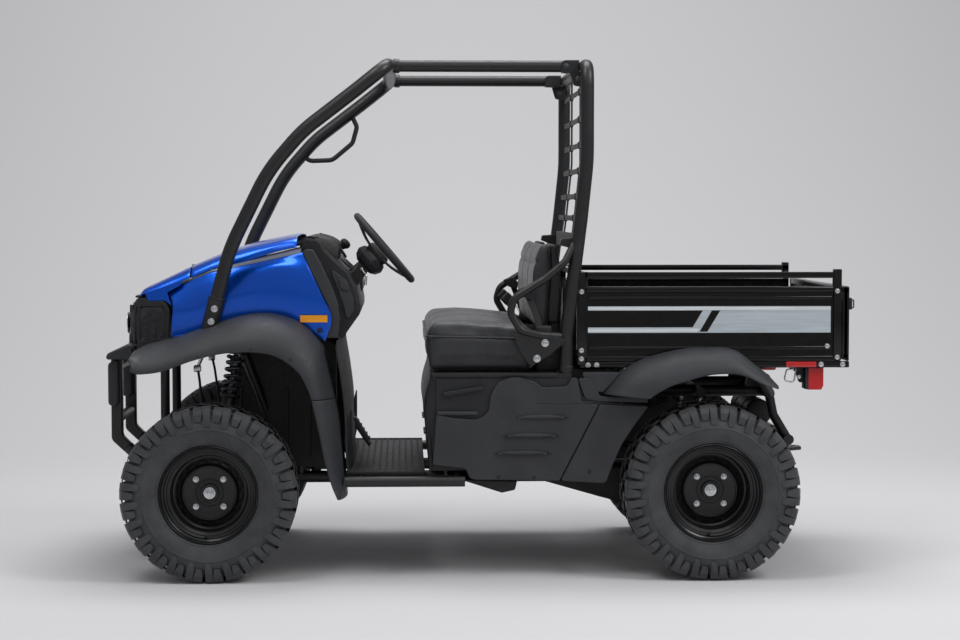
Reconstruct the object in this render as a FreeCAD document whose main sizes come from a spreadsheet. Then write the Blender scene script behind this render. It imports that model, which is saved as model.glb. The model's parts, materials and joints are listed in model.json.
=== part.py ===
import FreeCAD, Part
import math
import os
import re

# Side by side utility vehicle, in millimetres. Front is -X, the driver's side is -Y, +Z is up.
# The origin is on the floor, on the centreline, at the middle of the overall length.

V = FreeCAD.Vector

SIZES = {
    # Distances from one station of the length to the next, nose to tail
    "front_overhang": 404,
    "axle_to_floor": 493,
    "floor_length": 285,
    "seat_to_hoop": 490,
    "hoop_to_axle": 517,
    "rear_overhang": 527,
    # Heights
    "rail_height": 322,
    "floor_rise": 62,
    "seat_base_height": 735,
    "bed_height": 771,
    "roof_height": 1829,
    # Wheels
    "tyre_radius": 312,
    "front_tyre_width": 229,
    "rear_tyre_width": 279,
    "front_wheel_centre": 550,
    "rear_wheel_centre": 525,
    "bead_radius": 152,
    "rim_lip_radius": 172,
    "rim_wall": 5,
    "rim_sides": 12,
    "disc_radius": 131,
    "front_disc_set": 62,
    "rear_disc_set": 78,
    "disc_plate": 6,
    "disc_flat_radius": 90,
    "lug_pitches": 24,
    "lug_depth": 13,
    "lug_width": 38,
    "seat_gap": 0.3,
    # Frame
    "rail_tube": 44,
    "cross_tube": 38,
    "post_tube": 34,
    "rail_half_gauge": 200,
    "outrigger_half": 590,
    # Cage
    "front_hoop_tube": 50,
    "rear_hoop_tube": 48,
    "hoop_base_half": 505,
    "hoop_top_half": 545,
    "rear_hoop_half": 543,
    "roof_rail_tube": 42,
    "roof_rail_half": 440,
    "grab_tube": 19,
    "hip_loop_tube": 27,
    "hip_loop_half": 567,
    "screen_bar_half": 200,
    # Cab
    "cab_half_width": 560,
    "floor_plate": 14,
    "seat_plate": 16,
    "cushion_half_width": 540,
    "backrest_half_width": 500,
    "seat_base_half": 578,
    "cover_plate": 14,
    "dash_half_width": 432,
    "dash_rib_width": 80,
    # Front body
    "hood_half_width": 426,
    "hood_plate": 18,
    "lid_gap": 8,
    "flare_outer_half": 655,
    "body_side_half": 480,
    "flare_plate": 14,
    "cowl_half_width": 430,
    "brow_half_width": 300,
    # Steering
    "ball_joint_half": 433,
    "ball_joint_height": 215,
    "tower_half": 368,
    "tower_height": 790,
    "strut_tube": 46,
    "spring_diameter": 70,
    "hub_diameter": 84,
    "arm_tube": 30,
    "steering_arm": 109,
    "tie_rod_tube": 18,
    "rack_rod": 24,
    "rack_half_length": 250,
    "rack_height": 375,
    "steering_wheel_diameter": 330,
    "steering_grip": 28,
    "column_tube": 50,
    # Rear running gear
    "engine_width": 340,
    "axle_tube": 64,
    "leaf_width": 50,
    "leaf_half": 330,
    "muffler_diameter": 100,
    "hitch_hole_radius": 9.5,
    # Bed
    "bed_half_width": 530,
    "bed_side_height": 269,
    "bed_wall": 24,
    "bed_floor_plate": 22,
    "bed_frame_depth": 23,
    "bed_rail_rise": 52,
    "bed_rail_square": 22,
    "bed_pin": 24,
    "tailgate_plate": 26,
    "tailgate_gap": 6,
    "rear_flare_width": 120,
    "rear_flare_outer": 665,
}

DOC = FreeCAD.newDocument("side_by_side")
SHEET = DOC.addObject("Spreadsheet::Sheet", "Sizes")
for row, (alias, value) in enumerate(SIZES.items(), start=1):
    SHEET.set(f"A{row}", alias.replace("_", " "))
    SHEET.set(f"B{row}", str(value))
    SHEET.setAlias(f"B{row}", alias)
DOC.recompute()
NODES = []


def size(alias):
    """Value of one cell of the sheet."""
    return float(SHEET.get(alias))


def cell(expression):
    """The expression with each alias written as its cell."""
    return re.sub(r"[a-z_]+", lambda m: "Sizes." + m.group() if m.group() in SIZES else m.group(), expression)


def bind(thing, **expressions):
    """Bind properties to expressions over the sheet."""
    for name, expression in expressions.items():
        thing.setExpression(name, cell(expression))
    return thing


STATIONS = ("front_overhang", "axle_to_floor", "floor_length", "seat_to_hoop", "hoop_to_axle", "rear_overhang")
NOSE = -sum(size(name) for name in STATIONS) / 2
FRONT_AXLE = NOSE + size("front_overhang")
FLOOR = FRONT_AXLE + size("axle_to_floor")
SEAT = FLOOR + size("floor_length")
HOOP = SEAT + size("seat_to_hoop")
REAR_AXLE = HOOP + size("hoop_to_axle")
TAIL = REAR_AXLE + size("rear_overhang")
HUB = size("tyre_radius")
RAIL = size("rail_height")
FLOOR_TOP = RAIL + size("floor_rise")
FLOOR_LOW = FLOOR_TOP - size("floor_plate")
SEAT_BASE = size("seat_base_height")
BED = size("bed_height")
REAR_RAIL = BED - 131
BED_PIVOT = V(REAR_AXLE + 214, 0, BED - 71)
BED_FRONT = HOOP + 52
HOOP_FOOT = SEAT_BASE - 5
GAUGE = size("rail_half_gauge")
ROOF = size("roof_height")
GAP = size("seat_gap")
BALL_JOINT = V(FRONT_AXLE - 11, -size("ball_joint_half"), size("ball_joint_height"))
STRUT_TOP = V(FRONT_AXLE + 81, -size("tower_half"), size("tower_height"))
STRUT_AXIS = (STRUT_TOP - BALL_JOINT).normalize()
COLUMN_AXIS = V(0.761, 0, 0.649)
WHEEL_CENTRE = V(FLOOR + 125, -280, 1175)
FRONT_STRETCH = size("axle_to_floor") / 493
# Hidden frame tubes have few facets; the ones that carry something have a corner on top, at the full radius.
FRAME_SIDES = 6
LOADED_TUBES = ("gear", "seat", "hoop", "shock", "rear", "seat_top", "floor_front", "floor_rear")


def at(x, points, z=0):
    """Outline points measured from a station and a height."""
    return [(x + p[0], z + p[1]) + tuple(p[2:]) for p in points]


def behind(x):
    """Station of the front body, measured from the axle; behind it, it stretches towards the floor."""
    return FRONT_AXLE + (x * FRONT_STRETCH if x > 0 else x)


def front(points):
    """Front body outline, measured from the front axle."""
    return [(behind(p[0]),) + tuple(p[1:]) for p in points]


def kingpin(height):
    """Point of the left steering axis at a height."""
    share = (height - BALL_JOINT.z) / (STRUT_TOP.z - BALL_JOINT.z)
    return BALL_JOINT + (STRUT_TOP - BALL_JOINT) * share


def column_point(distance):
    """Point of the steering column's axis, measured up from the wheel's centre."""
    return WHEEL_CENTRE + COLUMN_AXIS * distance


TIE_BALL = kingpin(size("rack_height")) + V(size("steering_arm"), 0, 0)


def rounded(points, closed=True):
    """Lines and tangent arcs through (point, radius) pairs."""
    count = len(points)
    trims = []
    for i, (here, radius) in enumerate(points):
        if radius and (closed or 0 < i < count - 1):
            back = (points[i - 1][0] - here).normalize()
            ahead = (points[(i + 1) % count][0] - here).normalize()
            half = back.getAngle(ahead) / 2
            reach = radius / math.tan(half)
            middle = here + (back + ahead).normalize() * (radius / math.sin(half) - radius)
            trims.append((here + back * reach, middle, here + ahead * reach))
        else:
            trims.append((here, None, here))
    edges = []
    for i in range(count):
        start, middle, end = trims[i]
        if middle is not None:
            edges.append(Part.Arc(start, middle, end))
        if i < count - 1 or closed:
            following = trims[(i + 1) % count][0]
            if end.distanceToPoint(following) > 1e-6:
                edges.append(Part.LineSegment(end, following))
    return edges


def flat(points):
    """(a, b) or (a, b, radius) tuples as (point, radius) pairs in a sketch plane."""
    return [(V(p[0], p[1], 0), p[2] if len(p) > 2 else 0) for p in points]


def sketched(name, plane, outline):
    """A body with one closed sketch on one of its origin planes."""
    body = DOC.addObject("PartDesign::Body", name)
    sketch = body.newObject("Sketcher::SketchObject", name + "_outline")
    origin_plane = [f for f in body.Origin.OriginFeatures if f.Role == plane][0]
    sketch.AttachmentSupport = (origin_plane, [""])
    sketch.MapMode = "FlatFace"
    sketch.addGeometry(rounded(flat(outline)), False)
    return body, sketch


def side_plate(name, outline, thick, centre="0"):
    """An X-Z outline padded along Y, its middle at y = centre."""
    body, sketch = sketched(name, "XZ_Plane", outline)
    pad = body.newObject("PartDesign::Pad", name + "_pad")
    pad.Profile = sketch
    pad.SideType = "Symmetric"
    bind(pad, Length=thick)
    body.setExpression("Placement.Base.y", cell(centre))
    return body


def top_plate(name, outline, low, high):
    """An X-Y outline padded up from z = low to z = high."""
    body, sketch = sketched(name, "XY_Plane", outline)
    pad = body.newObject("PartDesign::Pad", name + "_pad")
    pad.Profile = sketch
    pad.Length = high - low
    body.Placement.Base.z = low
    return body


def block(name, low, high):
    """A box between two corners."""
    box = DOC.addObject("Part::Box", name)
    box.Length, box.Width, box.Height = (high[i] - low[i] for i in range(3))
    box.Placement.Base = V(*low)
    return box


def along(start, end):
    """Placement at start with +Z towards end."""
    return FreeCAD.Placement(start, FreeCAD.Rotation(V(0, 0, 1), end - start))


def rod(name, start, end, diameter, sides=8):
    """A straight faceted bar or tube from start to end."""
    start, end = V(*start), V(*end)
    bar = DOC.addObject("Part::Prism", name)
    bar.Polygon = sides
    bind(bar, Circumradius=f"({diameter}) / 2")
    bar.Height = (end - start).Length
    bar.Placement = along(start, end)
    return bar


def pin(name, start, end, diameter):
    """A truly round bar, for what turns, slides or is clamped."""
    start, end = V(*start), V(*end)
    bar = DOC.addObject("Part::Cylinder", name)
    bind(bar, Radius=f"({diameter}) / 2")
    bar.Height = (end - start).Length
    bar.Placement = along(start, end)
    return bar


def bent(points, step=math.radians(30)):
    """Corners of a bent tube's route: each (x, y, z[, radius]) corner as short chords of its bend."""
    route = [(V(*p[:3]), p[3] if len(p) > 3 else 0) for p in points]
    corners = [route[0][0]]
    for (before, _), (here, radius), (after, _) in zip(route, route[1:], route[2:]):
        back, ahead = (before - here).normalize(), (after - here).normalize()
        turn = math.pi - back.getAngle(ahead)
        if radius and turn > step:
            centre = here + (back + ahead).normalize() * (radius / math.cos(turn / 2))
            reach = radius * math.tan(turn / 2)
            start = here + back * reach - centre
            axis = start.cross(here + ahead * reach - centre)
            chords = math.ceil(turn / step)
            for i in range(chords + 1):
                spin = FreeCAD.Rotation(axis, math.degrees(turn) * i / chords)
                corners.append(centre + spin.multVec(start))
        else:
            corners.append(here)
    return corners + [route[-1][0]]


def swept(name, path_points, section):
    """A section carried along straight runs with mitred corners."""
    path = DOC.addObject("Part::Feature", name + "_path")
    path.Shape = Part.makePolygon(path_points)
    sweep = DOC.addObject("Part::Sweep", name)
    sweep.Sections = [section]
    sweep.Spine = (path, [f"Edge{i}" for i in range(1, len(path_points))])
    sweep.Solid = True
    sweep.Frenet = False
    sweep.Transition = "Right corner"
    return sweep


def tube(name, points, diameter, sides=8):
    """A bent tube through (x, y, z[, bend radius]) points."""
    corners = bent(points)
    section = DOC.addObject("Part::RegularPolygon", name + "_section")
    section.Polygon = sides
    bind(section, Circumradius=f"({diameter}) / 2")
    section.Placement = along(corners[0], corners[1])
    return swept(name, corners, section)


def turned(name, outline, sides, inside=False):
    """A faceted ring: an outline of (radius, y) points carried round the Y axis.

    The flats lie at the outline's radii, or with inside the corners do.
    """
    step = 2 * math.pi / sides
    if inside:
        outline = [(radius * math.cos(step / 2), y) for radius, y in outline]
    reach = outline[0][0] / math.cos(step / 2)
    corners = [V(reach * math.cos((i + 0.5) * step), 0, reach * math.sin((i + 0.5) * step)) for i in range(sides)]
    start = (corners[-1] + corners[0]) * 0.5
    section = DOC.addObject("Sketcher::SketchObject", name + "_section")
    section.addGeometry(rounded(flat(outline)), False)
    return swept(name, [start] + corners + [start], section)


def mirrored(thing):
    """The same piece on the other side of the centreline."""
    copy = DOC.addObject("Part::Mirroring", thing.Name + "_right")
    copy.Source = thing
    copy.Normal = (0, 1, 0)
    copy.Base = (0, 0, 0)
    return copy


def both(*things):
    """Each piece with its mirror image."""
    return [piece for thing in things for piece in (thing, mirrored(thing))]


def fused(name, pieces):
    """One solid from touching pieces."""
    fuse = DOC.addObject("Part::MultiFuse", name)
    fuse.Shapes = pieces
    fuse.Refine = True
    return fuse


def cut(name, base, tool):
    """Base less tool."""
    result = DOC.addObject("Part::Cut", name)
    result.Base = base
    result.Tool = tool
    result.Refine = True
    return result


def common(name, first, second):
    """What two pieces share."""
    result = DOC.addObject("Part::MultiCommon", name)
    result.Shapes = [first, second]
    return result


def group(name, pieces):
    """Like pieces that don't touch, as one object."""
    compound = DOC.addObject("Part::Compound", name)
    compound.Links = pieces
    return compound


def node(label, thing):
    """Name a finished sub-part and list it for export."""
    thing.Label = label
    NODES.append(thing)
    return thing


def wheel_seat(width):
    """Half the distance between a rim's lips."""
    return size(width) / 2 - 29.5


def disc_face(width, disc_set):
    """How far outboard of the wheel's middle its disc's outer face is."""
    return wheel_seat(width) - size(disc_set) + size("rim_wall")


def hub_face(centre, width, disc_set):
    """How far out a hub ends, against the inner face of its wheel's disc."""
    return size(centre) + disc_face(width, disc_set) - size("disc_plate") - GAP


def rim(place, width, disc_set):
    """Wheel rim with its drop centre and dished disc, outboard towards -Y, about the hub's axis."""
    seat, wall = wheel_seat(width), size("rim_wall")
    lip, bead, disc = size("rim_lip_radius"), size("bead_radius"), size("disc_radius")
    centre, face, plate = size("disc_flat_radius"), -disc_face(width, disc_set), size("disc_plate")
    outline = [
        (lip, -seat), (lip, -seat + wall), (bead, -seat + wall + 8), (bead, seat - wall - 8),
        (lip, seat - wall), (lip, seat), (bead - wall, seat - 8), (disc + 8, face + plate + 14),
        (centre, face + plate), (centre, face), (disc, face - 12), (bead - wall, -seat + 8),
    ]
    sides = int(size("rim_sides"))
    ring = turned(f"rim_{place}_ring", outline, sides, inside=True)
    middle = rod(f"rim_{place}_middle", (0, face, 0), (0, face + plate, 0), "2 * disc_flat_radius + 3", sides)
    return fused(f"rim_{place}_joined", [ring, middle])


def tread_lug(name, angle, side, reach, half):
    """One tread lug: a wedge from the shoulder's foot to the tread, and inboard to y = reach."""
    foot, slope, draft = half - 5, 15, 3
    lug = DOC.addObject("Part::Wedge", name)
    bind(lug, Ymin="tyre_radius - lug_depth - 31", Ymax="tyre_radius", Zmin="-lug_width / 2", Zmax="lug_width / 2",
         Z2min=f"{draft} - lug_width / 2", Z2max=f"lug_width / 2 - {draft}")
    lug.Xmin, lug.Xmax = sorted((side * foot, side * reach))
    lug.X2min, lug.X2max = sorted((side * (foot - slope), side * reach))
    radial = V(math.cos(angle), 0, math.sin(angle))
    axial = V(0, 1, 0)
    lug.Placement.Rotation = FreeCAD.Rotation(axial, radial, axial.cross(radial), "XYZ")
    return lug


def tyre(place, width):
    """Tyre carcass with its shoulder lugs, long and short in turn, the long ones facing short ones."""
    half, seat = size(width) / 2, wheel_seat(width)
    crown = HUB - size("lug_depth")
    inner, lip = size("bead_radius") + 0.5, size("rim_lip_radius") + 0.6
    right_side = [(inner, seat - 14.5), (lip, seat - 5.6), (0.756 * HUB, half), (crown - 31, half - 5), (crown, half - 24)]
    outline = [(radius, -y) for radius, y in right_side] + right_side[::-1]
    pitches = int(size("lug_pitches"))
    pieces = [turned(f"tyre_{place}_carcass", outline, pitches)]
    for number in range(pitches):
        angle = 2 * math.pi / pitches * number
        long_one, short_one = 0.07 * half, 0.42 * half
        reaches = (long_one, short_one) if number % 2 else (short_one, long_one)
        for side, reach in zip((-1, 1), reaches):
            pieces.append(tread_lug(f"lug_{place}_{number}", angle, side, reach, half))
    return fused(f"tyre_{place}_joined", pieces)


def wheels():
    """Four wheels: the left ones and their mirror images."""
    for axle, axle_x, centre, width, disc_set in (
        ("front", FRONT_AXLE, "front_wheel_centre", "front_tyre_width", "front_disc_set"),
        ("rear", REAR_AXLE, "rear_wheel_centre", "rear_tyre_width", "rear_disc_set"),
    ):
        hub = FreeCAD.Placement(V(axle_x, -size(centre), HUB), FreeCAD.Rotation())
        for kind, piece in (("rim", rim(axle, width, disc_set)), ("tyre", tyre(axle, width))):
            piece.Placement = hub
            node(f"{kind}_{axle}_left", piece)
            node(f"{kind}_{axle}_right", mirrored(piece))


def frame():
    """Tube frame: two rails, cross tubes, towers, uprights and bed mounts."""
    cross_radius = size("cross_tube") / 2
    outrigger_height = FLOOR_LOW - GAP - cross_radius
    seat_tube_height = SEAT_BASE - size("seat_plate") - GAP - cross_radius
    rail = tube("rail", [
        (NOSE + 68, -GAUGE, 437), (NOSE + 190, -GAUGE, RAIL, 60), (REAR_AXLE - 401, -GAUGE, RAIL, 90),
        (REAR_AXLE - 291, -GAUGE, REAR_RAIL, 90), (REAR_AXLE + 259, -GAUGE, REAR_RAIL)], "rail_tube", FRAME_SIDES)
    pieces = both(rail)
    for place, x, z, half in (
        ("radiator", FRONT_AXLE - 196, RAIL, GAUGE), ("gear", FRONT_AXLE - 95, RAIL, GAUGE),
        ("rack", TIE_BALL.x, RAIL, GAUGE), ("dash", behind(354), RAIL, GAUGE), ("seat", HOOP - 254, RAIL, GAUGE),
        ("hoop", HOOP - 14, RAIL, GAUGE), ("bed", REAR_AXLE - 211, REAR_RAIL, GAUGE),
        ("shock", REAR_AXLE, REAR_RAIL, 310), ("rear", REAR_AXLE + 249, REAR_RAIL, 349),
        ("seat_top", HOOP - 254, seat_tube_height, size("cab_half_width")),
        ("hoop_top", HOOP, HOOP_FOOT - 40, size("rear_hoop_half")),
        ("floor_front", FLOOR + 41, outrigger_height, size("outrigger_half")),
        ("floor_rear", SEAT + 76, outrigger_height, size("outrigger_half")),
        ("spring_front", REAR_AXLE - 346, 420, 360), ("spring_rear", REAR_AXLE + 319, 470, 360),
    ):
        sides = 8 if place in LOADED_TUBES else FRAME_SIDES
        pieces.append(rod(f"cross_{place}", (x, -half, z), (x, half, z), "cross_tube", sides))
    sill_half = size("outrigger_half")
    pieces += both(rod("sill_bar", (FLOOR - 14, -sill_half, outrigger_height),
                       (SEAT + 127, -sill_half, outrigger_height), "cross_tube"))
    for place, x, low, high in (
        ("radiator", FRONT_AXLE - 196, RAIL, 799.5), ("dash", behind(304), RAIL, 900),
        ("seat", HOOP - 254, RAIL, seat_tube_height), ("hoop", HOOP, RAIL, HOOP_FOOT - 40),
        ("spring", REAR_AXLE - 346, 420, 520), ("bed", REAR_AXLE - 311, REAR_RAIL - 40, BED - 44),
    ):
        pieces += both(rod(f"post_{place}", (x, -GAUGE, low), (x, -GAUGE, high), "post_tube", FRAME_SIDES))
    pieces.append(rod("cross_dash_top", (behind(304), -GAUGE, 880), (behind(304), GAUGE, 880), "cross_tube",
                      FRAME_SIDES))
    hoop_half = size("rear_hoop_half")
    pieces += both(rod("hoop_foot", (HOOP, -hoop_half, HOOP_FOOT - 40), (HOOP, -hoop_half, HOOP_FOOT),
                       "rear_hoop_tube"))
    flare_inner = size("rear_flare_outer") - size("rear_flare_width") - GAP
    pieces.append(rod("bed_rest", (REAR_AXLE - 311, -flare_inner, BED - 44),
                      (REAR_AXLE - 311, flare_inner, BED - 44), "cross_tube"))
    pieces += both(tube("rear_flare_stay", [
        (REAR_AXLE + 249, -349, REAR_RAIL), (REAR_AXLE + 199, -430, BED - 61),
        (REAR_AXLE + 199, -flare_inner, BED - 61)], "cross_tube"))
    pieces += both(tube("rear_hanger_post", [
        (REAR_AXLE + 249, -330, REAR_RAIL), (REAR_AXLE + 265, -330, 560, 40), (REAR_AXLE + 319, -330, 470)],
        "post_tube", FRAME_SIDES))
    pieces += front_towers()
    pivot_x, pivot_z = BED_PIVOT.x, BED_PIVOT.z
    ear = side_plate("pivot_ear", [
        (pivot_x - 40, REAR_RAIL), (pivot_x + 40, REAR_RAIL), (pivot_x + 18, pivot_z + 18, 16),
        (pivot_x - 18, pivot_z + 18, 16)], "12", "-(rail_half_gauge + 10)")
    axle = rod("pivot_pin", (pivot_x, -GAUGE - 10, pivot_z), (pivot_x, -GAUGE - 42, pivot_z), "bed_pin")
    pieces += both(ear, axle)
    hitch_x = REAR_AXLE + 309
    hitch_plate = top_plate("hitch_plate", [
        (hitch_x, -60), (hitch_x + 75, -60, 30), (hitch_x + 120, -28, 20), (hitch_x + 120, 28, 20),
        (hitch_x + 75, 60, 30), (hitch_x, 60)], 395, 407)
    hitch_drop = block("hitch_drop", (hitch_x, -60, 395), (hitch_x + 12, 60, 490))
    hole = pin("hitch_hole", (hitch_x + 90, 0, 380), (hitch_x + 90, 0, 420), "2 * hitch_hole_radius")
    pieces += [cut("hitch_drilled", hitch_plate, hole), hitch_drop]
    rack_x, rack_z = TIE_BALL.x, TIE_BALL.z
    pieces.append(rod("rack_housing", (rack_x, -150, rack_z), (rack_x, 150, rack_z), "2 * rack_rod"))
    pieces += both(block("rack_saddle", (rack_x - 14, -130, RAIL), (rack_x + 14, -100, rack_z)))
    bore = pin("rack_bore", (rack_x, -160, rack_z), (rack_x, 160, rack_z), "rack_rod + 0.1")
    node("chassis_frame", cut("frame_bored", fused("frame_tubes", pieces), bore))


def front_towers():
    """Strut towers with their cups, the cage's feet and the stays of the front flares."""
    top = V(FRONT_AXLE + 84, 0, 820)
    tower = tube("tower", [
        (FRONT_AXLE + 214, -GAUGE, RAIL), (FRONT_AXLE + 194, -GAUGE, 520, 80), (top.x, -285, 835)], "cross_tube",
        FRAME_SIDES)
    foot = tube("cage_foot", [
        (top.x, -410, 820), (FRONT_AXLE + 20, -450, 845, 30), (FRONT_AXLE - 8, -size("hoop_base_half") + 1, 866)],
        "cross_tube", FRAME_SIDES)
    cup = rod("strut_cup", STRUT_TOP + STRUT_AXIS * GAP, STRUT_TOP + STRUT_AXIS * 30, "spring_diameter")
    shelf_low = 946 - size("flare_plate") - GAP
    stay = tube("front_flare_stay", [
        (top.x, -415, 820), (behind(194), -500, 860, 30), (behind(194), -500, shelf_low)], "post_tube",
        FRAME_SIDES)
    return both(tower, foot, cup, stay) + [
        rod("tower_cross", (top.x, -420, 820), (top.x, 420, 820), "cross_tube", FRAME_SIDES)]


def bumper():
    """Front bumper: two posts with pads and cross tubes."""
    tube_x, knee = NOSE + 31, 437 + 37 * 115 / 122
    post = tube("bumper_post", [
        (tube_x, -GAUGE, 768), (tube_x, -GAUGE, knee, 60), (NOSE + 68, -GAUGE, 437)], "rail_tube")
    pad = side_plate("bumper_pad", [
        (NOSE, 590, 10), (NOSE, 760, 10), (NOSE + 44, 760), (NOSE + 44, 590)], "70", "-rail_half_gauge")
    bars = [rod(f"bumper_cross_{i}", (tube_x, -GAUGE, z), (tube_x, GAUGE, z), "cross_tube")
            for i, z in enumerate((540, 735))]
    node("front_bumper", fused("bumper_joined", both(post, pad) + bars))


# Rear edge of the blue side panel, which the dash's side rib follows; measured from the front axle.
PANEL_REAR = [(408, 842), (422, 886), (433, 929), (419, 969), (390, 1026), (355, 1101), (327, 1163)]


def front_cowl():
    """Front cowl with its grille and lamp pockets, the brow over the bumper and the lamps."""
    cowl = side_plate("cowl_block", front([
        (-304, 826, 6), (-308, 898), (-298, 967, 20), (-283, 992, 10), (-240, 1012), (-166, 985),
        (-150, 950), (-158, 840), (-213, 800), (-256, 790), (-296, 800)]), "2 * cowl_half_width")
    pocket_floor = FRONT_AXLE - 271
    pocket = block("lamp_pocket", (FRONT_AXLE - 346, -405, 850), (pocket_floor, -215, 965))
    slots = [block(f"grille_slot_{i}", (FRONT_AXLE - 346, -180, 835 + 34 * i),
                   (FRONT_AXLE - 281, 180, 851 + 34 * i)) for i in range(4)]
    opened = cut("cowl_open", cowl, group("cowl_openings", both(pocket) + slots))
    brow = side_plate("bumper_brow", [
        (NOSE + 3, 774), (NOSE + 9, 789, 6), (FRONT_AXLE - 322, 818), (FRONT_AXLE - 302, 818),
        (FRONT_AXLE - 297, 801.5), (FRONT_AXLE - 297, 768 + GAP), (NOSE + 3, 768 + GAP)], "2 * brow_half_width")
    node("front_cowl", group("cowl_pieces", [opened, brow]))
    lens = side_plate("headlamp", [
        (FRONT_AXLE - 302, 852, 6), (FRONT_AXLE - 304, 900), (FRONT_AXLE - 296, 963, 6),
        (pocket_floor - GAP, 963), (pocket_floor - GAP, 852)], "186", "-310")
    node("headlamps", group("lamp_pair", both(lens)))


def front_panels():
    """Blue nose panel and side panels, and the hinged hood lid."""
    plate, gap = size("hood_plate"), size("lid_gap")
    nose = side_plate("nose_plate", front([
        (-262, 1002.4), (-263, 1012), (-246, 1033, 8), (-213, 1050), (-139, 1086), (-82, 1114),
        (-82, 1114 - plate), (-139, 1086 - plate), (-206, 1053 - plate), (-225, 1016), (-240, 1012.6)]),
        "2 * hood_half_width")
    sheet = side_plate("side_sheet", front([
        (-165, 1014), (-140, 992), (-140, 964), (-148, 862), (-77, 883), (-25, 900), (52, 928), (115, 945),
        (167, 952), (220, 952), (272, 943), (319, 926), (366, 889)] + PANEL_REAR + [
        (173, 1130), (66, 1106), (12, 1097), (-42, 1076), (-113, 1047)]), "120", "-body_side_half")
    plan = top_plate("side_plan", front([
        (-176, -440), (-6, -466), (84, -470), (334, -520), (439, -520), (439, -500), (334, -500),
        (84, -450), (-6, -446), (-176, -420)]), 800, 1200)
    crease = [(-113, 1052), (-42, 1082), (12, 1103), (66, 1114), (173, 1138), (309, 1166)]
    shoulder = side_plate("shoulder_strip", front(
        [(-156, 1012)] + crease + [(x, z - 20) for x, z in reversed(crease)]), "40", "-(hood_half_width + 26)")
    sides = both(common("side_panel", sheet, plan), shoulder)
    node("front_panels", fused("panels_joined", [nose] + sides))
    top = [(-82 + gap, 1117), (9, 1151), (83, 1177), (157, 1198), (231, 1212), (279, 1224), (306, 1225)]
    lid = side_plate("lid_plate", front(top + [(x, z - plate) for x, z in reversed(top)]), "2 * hood_half_width")
    flank = side_plate("lid_flank", front(
        [(x, z - plate / 2) for x, z in top[1:]] + [(306, 1174), (173, 1146), (66, 1122), (12, 1111)]),
        "14", "-(hood_half_width - 7)")
    hinge_x = FRONT_AXLE - 82 + GAP + 4.5
    hinge = rod("lid_hinge", (hinge_x, -200, 1113), (hinge_x, 200, 1113), "9")
    node("hood_lid", fused("lid_joined", [lid, hinge] + both(flank)))


def front_flares():
    """Front flares: a shelf over each wheel and an outer skirt that runs down behind it."""
    drop = size("flare_plate")
    top = [(-270, 817), (-200, 842), (-137, 856), (-77, 877), (-25, 894), (52, 922), (115, 939),
           (167, 946), (220, 946), (272, 936), (325, 914), (366, 879), (401, 833)]
    rear = [(419, 788), (443, 682), (464, 576), (477, 434), (487, 292), (455, 292), (427, 361),
            (410, 432), (389, 539), (365, 645), (344, 705), (323, 740)]
    under = [(270, 786), (190, 815), (113, 815), (25, 805), (-45, 787), (-98, 770), (-150, 749),
             (-227, 738), (-259, 735), (-272, 781)]
    skirt = side_plate("flare_skirt", front(top + rear + under), "flare_plate",
                       "-(flare_outer_half - flare_plate / 2)")
    shelf = side_plate("flare_shelf", front(top + [(x + (6 if x > 250 else 0), z - drop) for x, z in reversed(top)]),
                       "flare_outer_half - body_side_half", "-((flare_outer_half + body_side_half) / 2)")
    foot, knee = V(*hoop_leg()[0][:3]), V(*hoop_leg()[1][:3])
    clearance = rod("hoop_clearance", foot - (knee - foot).normalize() * 60, knee, "front_hoop_tube + 16")
    notched = cut("flare_notched", fused("front_flare", [skirt, shelf]), clearance)
    node("front_flares", group("flare_pair", both(notched)))


def cab():
    """Floor pan and dash."""
    pan = side_plate("floor_plate_body",
        [(FLOOR - 11, FLOOR_LOW), (SEAT - 14, FLOOR_LOW), (SEAT - 14, FLOOR_TOP), (FLOOR + 18, FLOOR_TOP)]
        + at(FLOOR, [(14, 518), (7, 627), (-7, 736), (-21, 826), (-13, 850), (-27, 850), (-35, 826),
                     (-21, 736), (-7, 627), (0, 518)]), "2 * cab_half_width")
    node("floor_pan", pan)
    dash_low = 850 + GAP
    core = side_plate("dash_core",
        [(behind(318), 1205), (behind(333), 1217, 6)] + at(FLOOR, [
            (-113, 1213, 10), (-99, 1199), (-84, 1170), (-41, 1127), (2, 1087), (27, 1033), (41, 971),
            (41, 942, 8), (9, 899), (-24, dash_low), (-99, dash_low)]) + [(behind(318), 905)],
        "2 * dash_half_width")
    seam = [(x + 0.5, z) for x, z in PANEL_REAR[1:-1]]
    rib = side_plate("dash_rib",
        front([(412.2, 853)] + seam + [(335, 1171)]) + at(FLOOR, [
            (-128, 1171), (-103, 1128), (-57, 1028), (-39, 975), (-32, 921), (-39, 853)]),
        "dash_rib_width", "-(dash_half_width + dash_rib_width / 2 - 4)")
    column_hole = rod("column_hole", column_point(-60), column_point(-400), "column_tube + 1")
    node("dashboard", cut("dash_bored", fused("dash_joined", [core] + both(rib)), column_hole))


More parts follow.
